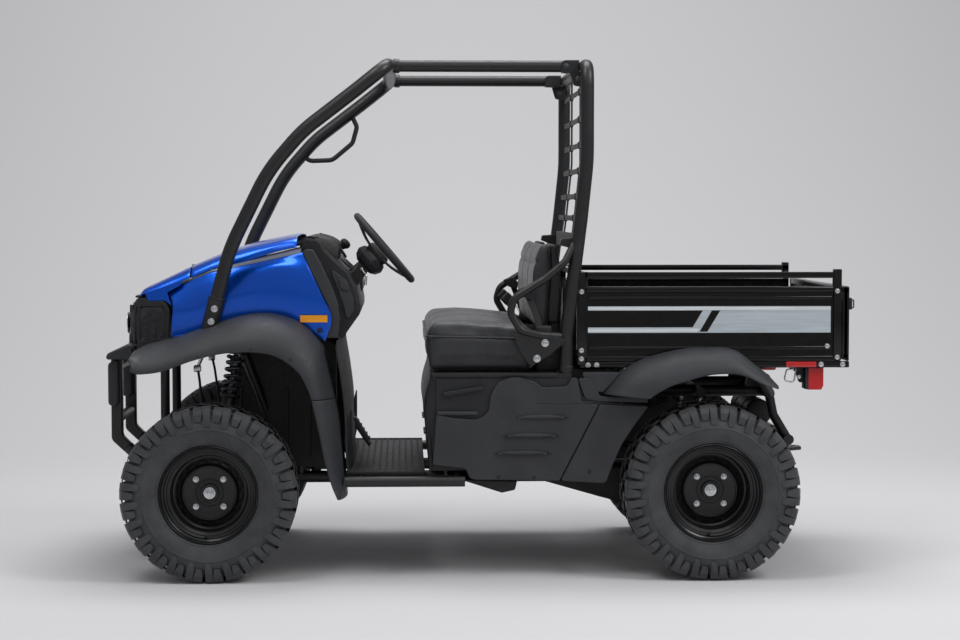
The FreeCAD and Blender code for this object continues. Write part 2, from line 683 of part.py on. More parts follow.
def seat():
    """Bench seat on its base, with the side covers under it."""
    rise = SEAT_BASE - FLOOR_TOP
    bulge = [(-12, 0.228), (-18, 0.387), (-12, 0.544), (-5, 0.755)]
    front_face = [(x, -rise * share) for x, share in bulge]
    back_face = [(x + 16, z) for x, z in reversed(front_face)]
    base = side_plate("seat_base_plate",
        at(SEAT, [(6, 0), (6, -14)] + front_face, SEAT_BASE)
        + [(SEAT, FLOOR_TOP + GAP), (SEAT + 16, FLOOR_TOP + GAP)]
        + at(SEAT, back_face + [(21, -16)], SEAT_BASE)
        + [(HOOP - 34, SEAT_BASE - size("seat_plate")), (HOOP - 34, SEAT_BASE)], "2 * seat_base_half")
    node("seat_base", base)
    cover = side_plate("side_cover",
        at(SEAT, [(26, 716), (24, 598), (12, 409), (134, 394), (145, 362), (163, 355)])
        + at(REAR_AXLE, [(-534, 350), (-378, 340), (-353, 408), (-321, 479), (-275, 550), (-222, 618),
                         (-411, 630), (-460, 646), (-482, 715)]),
        "cover_plate", "-(seat_base_half + seat_gap + cover_plate / 2)")
    outer = -(size("seat_base_half") + GAP + size("cover_plate"))
    pockets = [block(f"louvre_{i}", (start, outer - 5, z), (start + 196, outer + 5, z + 12))
               for i, (start, z) in enumerate(((SEAT + 297, 574), (SEAT + 262, 508), (SEAT + 230, 446)))]
    pockets += [block(f"grip_pocket_{i}", (SEAT + 50, outer - 5, z), (SEAT + 174, outer + 9, z + 34))
                for i, z in enumerate((596, 650))]
    carved = cut("side_cover_carved", cover, group("cover_pockets", pockets))
    node("side_covers", group("cover_pair", both(carved)))
    rear = HOOP - 113
    cushion = side_plate("seat_cushion",
        at(SEAT, [(1, GAP), (-13, 147, 25), (1, 183, 25), (113, 183), (236, 173)], SEAT_BASE)
        + at(rear, [(0.2, 163), (3, GAP)], SEAT_BASE), "2 * cushion_half_width")
    node("seat_cushion", cushion)
    back = side_plate("seat_backrest", at(rear, [
        (2, 135), (-4, 252), (-4, 343), (10, 416), (28, 467, 12), (61, 465, 12), (82, 385), (65, 234), (61, 135)],
        SEAT_BASE), "2 * backrest_half_width")
    node("seat_backrest", back)


def steering_wheel():
    """Steering wheel with its hub, spokes and shaft, and the fixed column."""
    tilt = FreeCAD.Rotation(V(0, 0, 1), COLUMN_AXIS)
    grip_radius = size("steering_grip") / 2
    reach = size("steering_wheel_diameter") / 2 - grip_radius
    sixths = [math.radians(60 * i) for i in range(6)]
    grip = turned("steering_grip_ring", [
        (reach + grip_radius * math.cos(a), grip_radius * math.sin(a)) for a in sixths], 20)
    grip.Placement = FreeCAD.Placement(WHEEL_CENTRE, tilt.multiply(FreeCAD.Rotation(V(1, 0, 0), 90)))
    pieces = [grip, rod("steering_hub", column_point(-45), column_point(-5), "90"),
              rod("steering_shaft", column_point(-100), column_point(-40), "24")]
    for number, angle in enumerate((90, 210, 330)):
        direction = tilt.multVec(V(math.cos(math.radians(angle)), math.sin(math.radians(angle)), 0))
        pieces.append(rod(f"spoke_{number}", column_point(-22) + direction * 20,
                          column_point(-4) + direction * (reach - 2), "16"))
    node("steering_wheel", fused("steering_wheel_joined", pieces))
    node("steering_column", rod("column_jacket", column_point(-100 - GAP), column_point(-230), "column_tube"))


def steering_linkage():
    """Knuckles with their struts, tie rods and the rack."""
    hub_out = hub_face("front_wheel_centre", "front_tyre_width", "front_disc_set")
    arm_root = kingpin(size("rack_height"))
    spring_foot = 645
    stem = rod("strut_stem", BALL_JOINT, kingpin(spring_foot), "strut_tube")
    carrier = rod("hub_carrier", (FRONT_AXLE, -425, HUB), (FRONT_AXLE, -hub_out, HUB), "hub_diameter")
    eye_half, eye_gap, eye_low, arm_drop = 9, 0.3, 22, 16
    eye = rod("arm_eye", TIE_BALL - STRUT_AXIS * eye_low, TIE_BALL - STRUT_AXIS * (eye_half + eye_gap), "30")
    arm = rod("steering_arm", arm_root - STRUT_AXIS * arm_drop, TIE_BALL - STRUT_AXIS * arm_drop, "14")
    knuckle = fused("knuckle_joined", [stem, carrier, eye, arm])
    spring = rod("strut_spring", kingpin(spring_foot) + STRUT_AXIS * GAP, STRUT_TOP, "spring_diameter")
    corner = group("knuckle_and_strut", [knuckle, spring])
    tie_eye = rod("tie_eye", TIE_BALL - STRUT_AXIS * eye_half, TIE_BALL + STRUT_AXIS * eye_half, "30")
    open_pivot = 2
    tie_end = V(TIE_BALL.x, -size("rack_half_length") - open_pivot, TIE_BALL.z)
    tie = fused("tie_rod_joined", [tie_eye, rod("tie_bar", TIE_BALL, tie_end, "tie_rod_tube")])
    for label, piece in (("knuckle", corner), ("tie_rod", tie)):
        node(f"{label}_left", piece)
        node(f"{label}_right", mirrored(piece))
    half, rack_x, rack_z = size("rack_half_length"), TIE_BALL.x, TIE_BALL.z
    bar = pin("rack_bar", (rack_x, -half, rack_z), (rack_x, half, rack_z), "rack_rod")
    collar = rod("rack_collar", (rack_x, -half, rack_z), (rack_x, -half + 30, rack_z), "34")
    node("steering_rack", fused("rack_joined", [bar] + both(collar)))


def front_suspension():
    """Lower arms, gear case and drive shafts."""
    bush_y = -(GAUGE + size("rail_tube") / 2 + 17 + GAP)
    boss = rod("arm_boss", BALL_JOINT - STRUT_AXIS * GAP, BALL_JOINT - STRUT_AXIS * 60, "40")
    end = BALL_JOINT - STRUT_AXIS * 42
    pieces = [boss]
    for place, offset in (("front", -100), ("rear", 95)):
        x = FRONT_AXLE + offset
        pieces.append(rod(f"arm_{place}_leg", (x, bush_y, RAIL - 4), end, "arm_tube"))
        pieces.append(rod(f"arm_{place}_bush", (x - 30, bush_y, RAIL - 4), (x + 30, bush_y, RAIL - 4), "34"))
    node("front_arms", group("arm_pair", both(fused("front_arm", pieces))))
    cross_edge = FRONT_AXLE - 95 + size("cross_tube") / 2 + GAP
    case = block("front_gear_case", (cross_edge, -95, 205), (FRONT_AXLE + 60, 95, 340))
    shaft = rod("front_shaft", (FRONT_AXLE, -90, 254), (FRONT_AXLE, -385, HUB), "26")
    boot = rod("front_boot", (FRONT_AXLE, -385, HUB), (FRONT_AXLE, -315, HUB - 12), "70")
    node("front_drive", fused("front_drive_joined", [case] + both(shaft, boot)))


def hoop_leg():
    """Route of the front hoop's left leg, from its foot to the roof's corner."""
    foot = 886
    base, top, rise = size("hoop_base_half"), size("hoop_top_half"), ROOF - foot
    return [(FRONT_AXLE + x, -(base + spread), foot + rise * share, radius) for x, spread, share, radius in (
        (-6, 0, 0, 0), (69, 4, 0.303, 500), (209, 18, 0.602, 400), (332, 25, 0.751, 400),
        (516, 33, 0.9, 500))] + [(FRONT_AXLE + 635, -top, ROOF, 75)]


def rear_leg():
    """Route of the rear hoop's left leg, from its foot to the roof's corner."""
    foot, half = HOOP_FOOT + GAP, size("rear_hoop_half")
    rise = ROOF - foot
    return [(HOOP + x, -half, foot + rise * share, radius) for x, share, radius in (
        (0, 0, 0), (0, 0.127, 400), (52, 0.498, 900), (74, 0.691, 900), (74, 1, 60))]


def rear_leg_x(height):
    """Where along the vehicle the rear hoop's leg is at a height."""
    for below, above in zip(rear_leg(), rear_leg()[1:]):
        if height <= above[2]:
            return below[0] + (above[0] - below[0]) * (height - below[2]) / (above[2] - below[2])
    return above[0]


def across(route):
    """A left leg's route carried on down the right leg."""
    return route + [(p[0], -p[1]) + tuple(p[2:]) for p in reversed(route)]


def front_cage():
    """Front hoop with its foot sleeves and the passenger's grab handle, and the roof rails."""
    leg = hoop_leg()
    foot, knee = V(*leg[0][:3]), V(*leg[1][:3])
    hoop = tube("front_hoop_run", across(leg), "front_hoop_tube")
    sleeve = rod("hoop_sleeve", foot, foot + (knee - foot).normalize() * 120, "front_hoop_tube + 8")
    handle_y, rise = size("hoop_top_half") - 10, ROOF - foot.z
    handle = tube("grab_handle", [(FRONT_AXLE + x, handle_y, foot.z + rise * share, radius)
        for x, share, radius in ((478, 0.874, 0), (504, 0.8, 30), (470, 0.736, 40), (365, 0.662, 50), (272, 0.687, 0))],
        "grab_tube", 6)
    node("front_hoop", fused("front_hoop_joined", [hoop, handle] + both(sleeve)))
    rail_half = size("roof_rail_half")
    front_end = FRONT_AXLE + 635 + size("front_hoop_tube") / 2
    rear_end = rear_leg()[-1][0] - size("rear_hoop_tube") / 2
    rail = rod("roof_rail", (front_end, -rail_half, ROOF), (rear_end, -rail_half, ROOF), "roof_rail_tube")
    node("roof_rails", group("roof_rail_pair", both(rail)))


def rear_cage():
    """Rear hoop with its hip loops, belt brackets and backrest arms, and the slatted screen."""
    hoop = tube("rear_hoop_run", across(rear_leg()), "rear_hoop_tube")
    half, loop_half = size("rear_hoop_half"), size("hip_loop_half")
    loop = tube("hip_loop", [
        (HOOP + 31, -half, 1200), (HOOP - 6, -loop_half, 1129, 40), (HOOP - 77, -loop_half, 1069, 60),
        (HOOP - 187, -loop_half, 1001, 30), (HOOP - 202, -loop_half, 950, 25), (HOOP - 164, -loop_half, 885, 30),
        (HOOP - 95, -loop_half, 869, 40), (HOOP + 2, -half, 862)], "hip_loop_tube", 6)
    belt_bracket = side_plate("belt_bracket", at(HOOP, [
        (-190, 872), (-166, 809), (-127, 755, 10), (-105, 773), (-59, 798), (-2, 851), (-60, 874)]),
        "6", "-hip_loop_half")
    arm = side_plate("backrest_arm", at(HOOP, [
        (-45, 1210), (-52, 1195), (36, 1168), (50, 1186), (50, 1216)]), "36",
        "-(backrest_half_width + seat_gap + 18)")
    node("rear_hoop", fused("rear_hoop_joined", [hoop] + both(loop, belt_bracket, arm)))
    inner = half - size("rear_hoop_tube") / 2 - GAP
    straps = []
    for number, drop in enumerate((78, 180, 275, 370, 465, 545)):
        x, z = rear_leg_x(ROOF - drop), ROOF - drop
        straps.append(block(f"screen_strap_{number}", (x - 2, -inner, z - 9), (x + 2, inner, z + 9)))
    foot_top = ROOF - 599
    foot_x = rear_leg_x(foot_top - 29)
    between_arms = size("backrest_half_width")
    straps.append(block("screen_foot", (foot_x - 3, -between_arms, foot_top - 57),
                        (foot_x + 3, between_arms, foot_top)))
    heights = [foot_top - 57, foot_top + 50, rear_leg()[3][2], ROOF - 25]
    line = [(rear_leg_x(z), z) for z in heights]
    bar = side_plate("screen_bar", [(x + 1, z) for x, z in line] + [(x + 7, z) for x, z in reversed(line)],
                     "24", "-screen_bar_half")
    node("rear_screen", fused("screen_joined", straps + both(bar)))


def drive():
    """Engine block, muffler, rear axle, springs, shocks and rear flares."""
    engine_low = RAIL + size("cross_tube") / 2 + GAP
    engine_top = SEAT_BASE - size("seat_plate") - 59
    node("engine", side_plate("engine", at(REAR_AXLE, [
        (-811, engine_low), (-811, engine_top - 70, 40), (-741, engine_top, 40), (-471, engine_top, 60),
        (-381, engine_top - 120, 60), (-381, engine_low)]), "engine_width"))
    can_x, can_z = REAR_AXLE + 253, 546
    can = rod("muffler_can", (can_x, -100, can_z), (can_x, 300, can_z), "muffler_diameter")
    strap_top = REAR_RAIL - size("cross_tube") / 2 - GAP
    strap = block("muffler_strap", (can_x - 9, 20, can_z + 39), (can_x + 9, 50, strap_top))
    node("muffler", fused("muffler_joined", [can, strap]))
    hub_out = hub_face("rear_wheel_centre", "rear_tyre_width", "rear_disc_set")
    beam = rod("axle_beam", (REAR_AXLE, -hub_out, HUB), (REAR_AXLE, hub_out, HUB), "axle_tube")
    drum = rod("brake_drum", (REAR_AXLE, -hub_out + 60, HUB), (REAR_AXLE, -hub_out + 12, HUB), "180")
    case = side_plate("axle_case", at(REAR_AXLE, [
        (-110, -40), (-110, 60), (-50, 100), (50, 100), (95, 40), (95, -50), (40, -95), (-50, -95)], HUB), "170")
    leaf_half, leaf_width = size("leaf_half"), size("leaf_width")
    pad_top = HUB + 40
    pad = block("spring_pad", (REAR_AXLE - 45, -leaf_half - leaf_width / 2, HUB),
                (REAR_AXLE + 45, -leaf_half + leaf_width / 2, pad_top))
    node("rear_axle", fused("rear_axle_joined", [beam, case] + both(drum, pad)))
    eye = 420 - size("cross_tube") / 2
    leaf = side_plate("leaf", at(REAR_AXLE, [
        (-346, eye - 6), (-120, 360, 300), (-45, pad_top + GAP), (45, pad_top + GAP), (150, 375, 300), (319, 445),
        (319, 451 - GAP), (150, 395, 300), (45, pad_top + 24), (-45, pad_top + 24), (-120, 382, 300),
        (-346, eye - GAP)]), "leaf_width", "-leaf_half")
    shock = rod("shock_body", (REAR_AXLE, -275, HUB + size("axle_tube") / 2 + GAP),
                (REAR_AXLE, -275, strap_top), "50")
    node("rear_springs", group("spring_pieces", both(leaf, shock)))
    top = [(-390, 665), (-334, 728), (-263, 774), (-192, 799), (-86, 820), (-15, 823), (56, 823), (99, 809),
           (146, 773), (199, 734), (235, 695)]
    under = [(228, 684), (221, 679), (167, 697), (114, 725), (60, 736), (-11, 733), (-82, 715), (-171, 687),
             (-224, 648), (-388, 650)]
    skirt = side_plate("rear_flare_skirt", at(REAR_AXLE, top + under), "flare_plate",
                       "-(rear_flare_outer - flare_plate / 2)")
    drop = size("flare_plate")
    shelf = side_plate("rear_flare_shelf", at(REAR_AXLE, top + [(x, z - drop) for x, z in reversed(top[1:])]),
                       "rear_flare_width", "-(rear_flare_outer - rear_flare_width / 2)")
    node("rear_flares", group("rear_flare_pair", both(fused("rear_flare", [skirt, shelf]))))


def bed():
    """Bed tub with its frame, rails and lamps, and the tailgate."""
    half, wall, top = size("bed_half_width"), size("bed_wall"), BED + size("bed_side_height")
    gate_front = TAIL - 48
    rear = gate_front - size("tailgate_gap")
    outer = block("tub_outer", (BED_FRONT, -half, BED), (rear, half, top))
    inner = block("tub_inner", (BED_FRONT + wall, -half + wall, BED + size("bed_floor_plate")),
                  (rear + 50, half - wall, top + 50))
    recess = block("tub_side_recess", (BED_FRONT + 26, -half - 5, BED + 24), (rear - 26, -half + 5, top - 22))
    node("bed_tub", cut("tub_hollow", outer, group("tub_hollows", [inner] + both(recess))))
    rail_top, square = BED + size("bed_side_height") + size("bed_rail_rise"), size("bed_rail_square")
    side_rail = block("bed_side_rail", (BED_FRONT, -half, rail_top - square), (rear, -half + square, rail_top))
    head_rail = block("bed_head_rail", (BED_FRONT, -half, rail_top - square), (BED_FRONT + square, half, rail_top))
    posts = [block(f"bed_post_{place}", (x, -half, top + GAP), (x + 28, -half + square, rail_top + rise))
             for place, x, rise in (("front", BED_FRONT, 0), ("rear", rear - 28, 10))]
    node("bed_top_rails", fused("bed_top_joined", [head_rail] + both(side_rail, *posts)))
    frame_low = BED - size("bed_frame_depth") - GAP
    sill = block("bed_sill", (BED_FRONT, -half + 2, frame_low), (TAIL - 22, -half + 26, BED - GAP))
    pieces = both(sill)
    for number, x in enumerate((BED_FRONT + 20, REAR_AXLE - 131, BED_PIVOT.x - 20, rear - 60)):
        pieces.append(block(f"bed_cross_{number}", (x, -half + 10, frame_low), (x + 40, half - 10, BED - GAP)))
    pivot_x, pivot_z = BED_PIVOT.x, BED_PIVOT.z
    hanger = side_plate("bed_hanger", [
        (pivot_x - 24, BED - 10), (pivot_x - 24, pivot_z - 20, 18), (pivot_x + 24, pivot_z - 20, 18),
        (pivot_x + 24, BED - 10)], "12", "-(rail_half_gauge + 30)")
    hole = pin("bed_hinge_hole", (pivot_x, -400, pivot_z), (pivot_x, 400, pivot_z), "bed_pin + 0.1")
    joined = fused("bed_frame_joined", pieces + both(hanger))
    node("bed_frame", cut("bed_frame_drilled", joined, hole))
    thick = size("tailgate_plate")
    gate = block("gate_plate", (gate_front, -half + 6, BED + 5), (gate_front + thick, half - 6, top))
    hinge_x, hinge_z = gate_front + thick - 6, BED + 6
    hinge = rod("gate_pin", (hinge_x, -half + 6, hinge_z), (hinge_x, half - 6, hinge_z), "12")
    latch = block("gate_latch", (gate_front + thick, -half + 20, top - 87), (TAIL, -half + 60, top - 40))
    node("tailgate", fused("gate_joined", [gate, hinge] + both(latch)))
    lamp_x = TAIL - 169
    lamp = side_plate("tail_lamp", [
        (lamp_x, 665), (lamp_x, frame_low - GAP), (lamp_x + 59, frame_low - GAP), (lamp_x + 59, 680, 12),
        (lamp_x + 51, 665)], "70", "-475")
    node("tail_lamps", group("tail_lamp_pair", both(lamp)))


def controls():
    """Pedals and shift lever."""
    brake = side_plate("brake_pedal", at(FLOOR, [
        (11.6, 560), (12.9, 540), (63, 470), (70, 476), (23, 552)]), "70", "-330")
    gas = side_plate("gas_pedal", at(FLOOR, [
        (13.5, 530), (14.5, 512), (67, 430), (74, 436), (25, 524)]), "50", "-210")
    slope = V(0.70703, 0, 0.70718)
    dash_face = V(FLOOR - 62.5, -100, 1148.5)
    stick = rod("shift_stick", dash_face + slope * GAP, dash_face + slope * 45, "14")
    knob = rod("shift_knob", dash_face + slope * 36, dash_face + slope * 66, "38")
    node("controls", group("controls_set", [brake, gas, fused("shift_lever", [stick, knob])]))


def export():
    """Check every object, then write one STEP file for each sub-part."""
    DOC.recompute()
    bad = [thing.Name for thing in DOC.Objects if {"Invalid", "Error"} & set(thing.State)]
    if bad:
        raise RuntimeError(f"objects that failed: {bad}")
    faulty = [n.Label for n in NODES if n.Shape.isNull() or not n.Shape.isValid() or n.Shape.Volume <= 0]
    if faulty:
        raise RuntimeError(f"sub-parts with no valid solid: {faulty}")
    os.makedirs("parts", exist_ok=True)
    for thing in NODES:
        thing.Shape.exportStep(os.path.join("parts", thing.Label + ".step"))
        print(thing.Label, len(thing.Shape.Solids), thing.Shape.BoundBox)


frame()
bumper()
front_cowl()
front_panels()
front_flares()
cab()
seat()
steering_wheel()
steering_linkage()
front_suspension()
front_cage()
rear_cage()
drive()
bed()
controls()
wheels()
export()
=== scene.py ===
"""Looks of a side by side utility vehicle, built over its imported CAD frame.

Everything is in metres in the CAD's own frame: the nose points to -X, the driver sits towards -Y,
Z is up, and the origin is on the floor, on the centreline, at the middle of the overall length.
"""

from __future__ import annotations

import json
import logging
import math
from dataclasses import dataclass
from enum import Enum
from typing import Callable, Iterable, Protocol, Sequence

import bpy
from mathutils import Matrix, Vector

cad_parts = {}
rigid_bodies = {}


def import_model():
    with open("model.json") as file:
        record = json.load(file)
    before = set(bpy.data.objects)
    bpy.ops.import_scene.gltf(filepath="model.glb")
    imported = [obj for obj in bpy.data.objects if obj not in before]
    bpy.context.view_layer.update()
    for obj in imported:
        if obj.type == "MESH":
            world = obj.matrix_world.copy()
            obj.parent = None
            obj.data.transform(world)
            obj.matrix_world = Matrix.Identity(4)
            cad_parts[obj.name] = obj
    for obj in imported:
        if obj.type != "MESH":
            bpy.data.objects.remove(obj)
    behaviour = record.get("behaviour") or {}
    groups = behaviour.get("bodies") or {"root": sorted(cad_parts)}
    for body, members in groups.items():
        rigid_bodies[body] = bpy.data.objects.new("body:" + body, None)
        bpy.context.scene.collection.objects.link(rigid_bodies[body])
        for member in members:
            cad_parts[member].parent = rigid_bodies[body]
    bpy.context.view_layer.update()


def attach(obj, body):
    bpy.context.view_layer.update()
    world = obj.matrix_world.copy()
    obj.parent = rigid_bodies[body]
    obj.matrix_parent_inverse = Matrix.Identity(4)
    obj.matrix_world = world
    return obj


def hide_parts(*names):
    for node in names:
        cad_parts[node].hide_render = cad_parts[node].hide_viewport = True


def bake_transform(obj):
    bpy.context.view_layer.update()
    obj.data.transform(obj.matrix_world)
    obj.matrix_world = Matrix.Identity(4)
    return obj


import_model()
LOG = logging.getLogger("utility_vehicle")
FINISH_LABEL = "finish_"

CREASE_ANGLE = 34.0  # degrees between two faces from which the shading keeps their edge
BEVEL_ANGLE = 32.0  # degrees between two faces from which their edge is rounded
BEND_STEPS = 7  # steps round each eased corner of a route
MERGE_DISTANCE = 0.00002
CLOTH_FRAMES = 20

Colour = tuple[float, float, float]
Numbers = Sequence[float]
Piece = bpy.types.Object
Socket = bpy.types.NodeSocket

LEFT = (0, -1, 0)
ACROSS = (0, 1, 0)
UP = (0, 0, 1)


def srgb(red: int, green: int, blue: int) -> Colour:
    """Turn a colour as a screen shows it into the linear one that a shader takes.

    Args:
        red: Red, from 0 to 255.
        green: Green, from 0 to 255.
        blue: Blue, from 0 to 255.

    Returns:
        The linear colour.
    """
    return tuple(
        (c / 255) / 12.92 if c <= 10 else ((c / 255 + 0.055) / 1.055) ** 2.4 for c in (red, green, blue))


# ---------------------------------------------------------------- finishes


class Surface:
    """A finish's node tree, with the steps that all finishes share."""

    def __init__(self, name: str, roughness: float, metallic: float = 0.0) -> None:
        """Start a material whose patterns follow the piece's own coordinates.

        Args:
            name: The finish's name.
            roughness: The surface's roughness.
            metallic: How metallic it is.
        """
        self.material = bpy.data.materials.new(FINISH_LABEL + name)
        self.material.use_nodes = True
        self.tree = self.material.node_tree
        self.shader = self.tree.nodes["Principled BSDF"]
        self.place = self.tree.nodes.new("ShaderNodeTexCoord").outputs["Object"]
        self.normal: Socket | None = None
        self.set(Roughness=roughness, Metallic=metallic)

    def set(self, **values: float | Colour) -> None:
        """Set constants on the shader's own sockets.

        Args:
            values: The value of each socket, by its name with underscores for spaces.
        """
        for name, value in values.items():
            full = (*value, 1.0) if isinstance(value, tuple) else value
            self.shader.inputs[name.replace("_", " ")].default_value = full

    def node(self, kind: str, inputs: dict[str | int, object], **settings: object) -> bpy.types.Node:
        """Add a node.

        Args:
            kind: The node's type, without its ShaderNode start.
            inputs: Sockets to link or values to set, by the input's name or number.
            settings: The node's options.

        Returns:
            The node.
        """
        made = self.tree.nodes.new("ShaderNode" + kind)
        for key, value in settings.items():
            setattr(made, key, value)
        for key, value in inputs.items():
            if isinstance(value, bpy.types.NodeSocket):
                self.tree.links.new(value, made.inputs[key])
            else:
                made.inputs[key].default_value = value
        return made

    def noise(self, scale: float, detail: float = 3.0, stretch: Numbers = (1, 1, 1)) -> Socket:
        """Return cloudy noise, stretched along the axes."""
        place = self.node("Mapping", {"Vector": self.place, "Scale": stretch}).outputs[0]
        return self.node("TexNoise", {"Vector": place, "Scale": scale, "Detail": detail}).outputs["Fac"]

    def cells(self, scale: float) -> Socket:
        """Return the distance to the edge of leather-like cells."""
        made = self.node("TexVoronoi", {"Vector": self.place, "Scale": scale}, feature="DISTANCE_TO_EDGE")
        return made.outputs["Distance"]

    def span(self, value: Socket, low: float, high: float, start: float = 0.35, end: float = 0.65) -> Socket:
        """Map a value from start..end to low..high."""
        inputs = {"Value": value, "From Min": start, "From Max": end, "To Min": low, "To Max": high}
        return self.node("MapRange", inputs).outputs["Result"]

    def shades(self, share: Socket, first: Colour, second: Colour) -> None:
        """Colour the surface between two colours.

        Args:
            share: The pattern that blends them.
            first: The colour where it is 0.
            second: The colour where it is 1.
        """
        inputs = {0: share, 6: (*first, 1.0), 7: (*second, 1.0)}
        mixed = self.node("Mix", inputs, data_type="RGBA").outputs[2]
        self.tree.links.new(mixed, self.shader.inputs["Base Color"])

    def rough(self, value: Socket, low: float, high: float) -> None:
        """Let the roughness vary with a value."""
        self.tree.links.new(self.span(value, low, high), self.shader.inputs["Roughness"])

    def bump(self, height: Socket, depth: float) -> None:
        """Raise the surface, over any bump before it.

        Args:
            height: The pattern, from 0 to 1.
            depth: How high the pattern's 1 stands, in metres.
        """
        inputs: dict[str | int, object] = {"Height": height, "Distance": depth, "Strength": 1.0}
        if self.normal:
            inputs["Normal"] = self.normal
        self.normal = self.node("Bump", inputs).outputs["Normal"]
        self.tree.links.new(self.normal, self.shader.inputs["Normal"])


def paler(colour: Colour, share: float) -> Colour:
    """Return a colour made lighter, or darker where the share is below one."""
    return tuple(min(1.0, c * share) for c in colour)


@dataclass(frozen=True)
class Finish:
    """What every finish has; its material is made once."""

    name: str
    colour: Colour
    roughness: float

    def material(self) -> bpy.types.Material:
        """Return the finish's material."""
        return bpy.data.materials.get(FINISH_LABEL + self.name) or self.made().material

    def made(self) -> Surface:
        """Make the material's nodes."""
        raise NotImplementedError


@dataclass(frozen=True)
class MouldedPlastic(Finish):
    """Moulded plastic with a fine leather grain, a little paler where it is scuffed."""

    grain: float = 620.0
    depth: float = 0.00035
    shine: float = 0.42

    def made(self) -> Surface:
        """Make the grain, the scuffs and the uneven gloss."""
        surface = Surface(self.name, self.roughness)
        surface.set(Specular_IOR_Level=self.shine)
        surface.shades(surface.span(surface.noise(9.0), 0, 1), self.colour, paler(self.colour, 1.22))
        surface.rough(surface.noise(60.0), self.roughness - 0.06, self.roughness + 0.09)
        surface.bump(surface.cells(self.grain), self.depth)
        surface.bump(surface.noise(14.0, 1.0), 0.0008)
        return surface


@dataclass(frozen=True)
class MetallicPaint(Finish):
    """Body paint: fine metal flakes under a clear coat."""

    flake: float = 2600.0

    def made(self) -> Surface:
        """Make the flakes, the slight mottle and the clear coat."""
        surface = Surface(self.name, self.roughness, metallic=0.86)
        surface.set(Coat_Weight=0.45, Coat_Roughness=0.06, Coat_IOR=1.5)
        flakes = surface.node("TexVoronoi", {"Vector": surface.place, "Scale": self.flake}).outputs["Color"]
        share = surface.span(flakes, 0, 1, 0.2, 0.9)
        surface.shades(share, paler(self.colour, 0.86), paler(self.colour, 1.2))
        surface.bump(surface.noise(24.0, 1.0), 0.0004)
        return surface


@dataclass(frozen=True)
class SteelCoat(Finish):
    """Black coating on steel, with orange peel, cloudy dust, and edges that have worn a little."""

    gloss: float = 0.0
    wear: float = 1.0

    def made(self) -> Surface:
        """Make the peel, the worn edges and the coat's gloss."""
        surface = Surface(self.name, self.roughness, metallic=0.0)
        surface.set(Coat_Weight=self.gloss, Coat_Roughness=0.12, Specular_IOR_Level=0.5 - self.gloss)
        edges = surface.span(surface.node("NewGeometry", {}).outputs["Pointiness"], 0, self.wear, 0.56, 0.7)
        dust = surface.span(surface.noise(6.0), 0, 0.4)
        worn = surface.node("Math", {0: edges, 1: dust}, operation="MAXIMUM").outputs[0]
        surface.shades(worn, self.colour, paler(self.colour, 1.8))
        surface.rough(surface.noise(45.0), self.roughness - 0.05, self.roughness + 0.07)
        surface.bump(surface.noise(420.0, 2.0), 0.00005)
        return surface


@dataclass(frozen=True)
class Rubber(Finish):
    """Rubber that is matt and a little dusty."""

    dust: float = 1.5

    def made(self) -> Surface:
        """Make the dust and the fine moulding texture."""
        surface = Surface(self.name, self.roughness)
        surface.set(Specular_IOR_Level=0.35, Sheen_Weight=0.08, Sheen_Roughness=0.5)
        surface.shades(
            surface.span(surface.noise(14.0, 6.0), 0, 1), self.colour, paler(self.colour, self.dust))
        surface.rough(surface.noise(80.0), self.roughness - 0.08, self.roughness + 0.1)
        surface.bump(surface.noise(500.0, 2.0), 0.0002)
        return surface


@dataclass(frozen=True)
class Vinyl(Finish):
    """Grained seat vinyl, pulled into faint creases."""

    def made(self) -> Surface:
        """Make the grain, the creases and the soft sheen."""
        surface = Surface(self.name, self.roughness)
        surface.set(Specular_IOR_Level=0.45, Sheen_Weight=0.12, Sheen_Roughness=0.4)
        surface.shades(surface.span(surface.noise(12.0), 0, 1), self.colour, paler(self.colour, 1.3))
        surface.rough(surface.noise(50.0), self.roughness - 0.06, self.roughness + 0.08)
        surface.bump(surface.cells(480.0), 0.0004)
        surface.bump(surface.noise(7.0, 2.0, (1.0, 0.35, 1.0)), 0.003)
        return surface


@dataclass(frozen=True)
class BareMetal(Finish):
    """Plated or cast metal, brushed or rough by its grain."""

    metallic: float = 1.0
    grain: float = 0.0001

    def made(self) -> Surface:
        """Make the uneven shine and the grain."""
        surface = Surface(self.name, self.roughness, self.metallic)
        surface.shades(surface.span(surface.noise(30.0), 0, 1), paler(self.colour, 0.85), self.colour)
        surface.rough(surface.noise(110.0), self.roughness - 0.05, self.roughness + 0.12)
        surface.bump(surface.noise(350.0, 3.0), self.grain)
        return surface


@dataclass(frozen=True)
class LensPlastic(Finish):
    """Coloured or clear lamp plastic with small prisms inside."""

    clear: float = 0.0
    prism: float = 160.0

    def made(self) -> Surface:
        """Make the prisms and the glassy face."""
        surface = Surface(self.name, self.roughness)
        surface.set(Transmission_Weight=self.clear, IOR=1.49, Coat_Weight=0.6, Coat_Roughness=0.03)
        prisms = surface.node("TexChecker", {"Vector": surface.place, "Scale": self.prism}).outputs["Fac"]
        surface.shades(prisms, self.colour, paler(self.colour, 0.72))
        surface.bump(surface.cells(self.prism), 0.0006)
        return surface


@dataclass(frozen=True)
class Film(Finish):
    """Printed film on a panel: fine metallic streaks along its length."""

    def made(self) -> Surface:
        """Make the streaks."""
        surface = Surface(self.name, self.roughness, metallic=0.25)
        surface.set(Coat_Weight=0.4, Coat_Roughness=0.15)
        streaks = surface.noise(180.0, 3.0, (0.04, 1.0, 1.0))
        surface.shades(surface.span(streaks, 0, 1), paler(self.colour, 0.9), paler(self.colour, 1.08))
        return surface


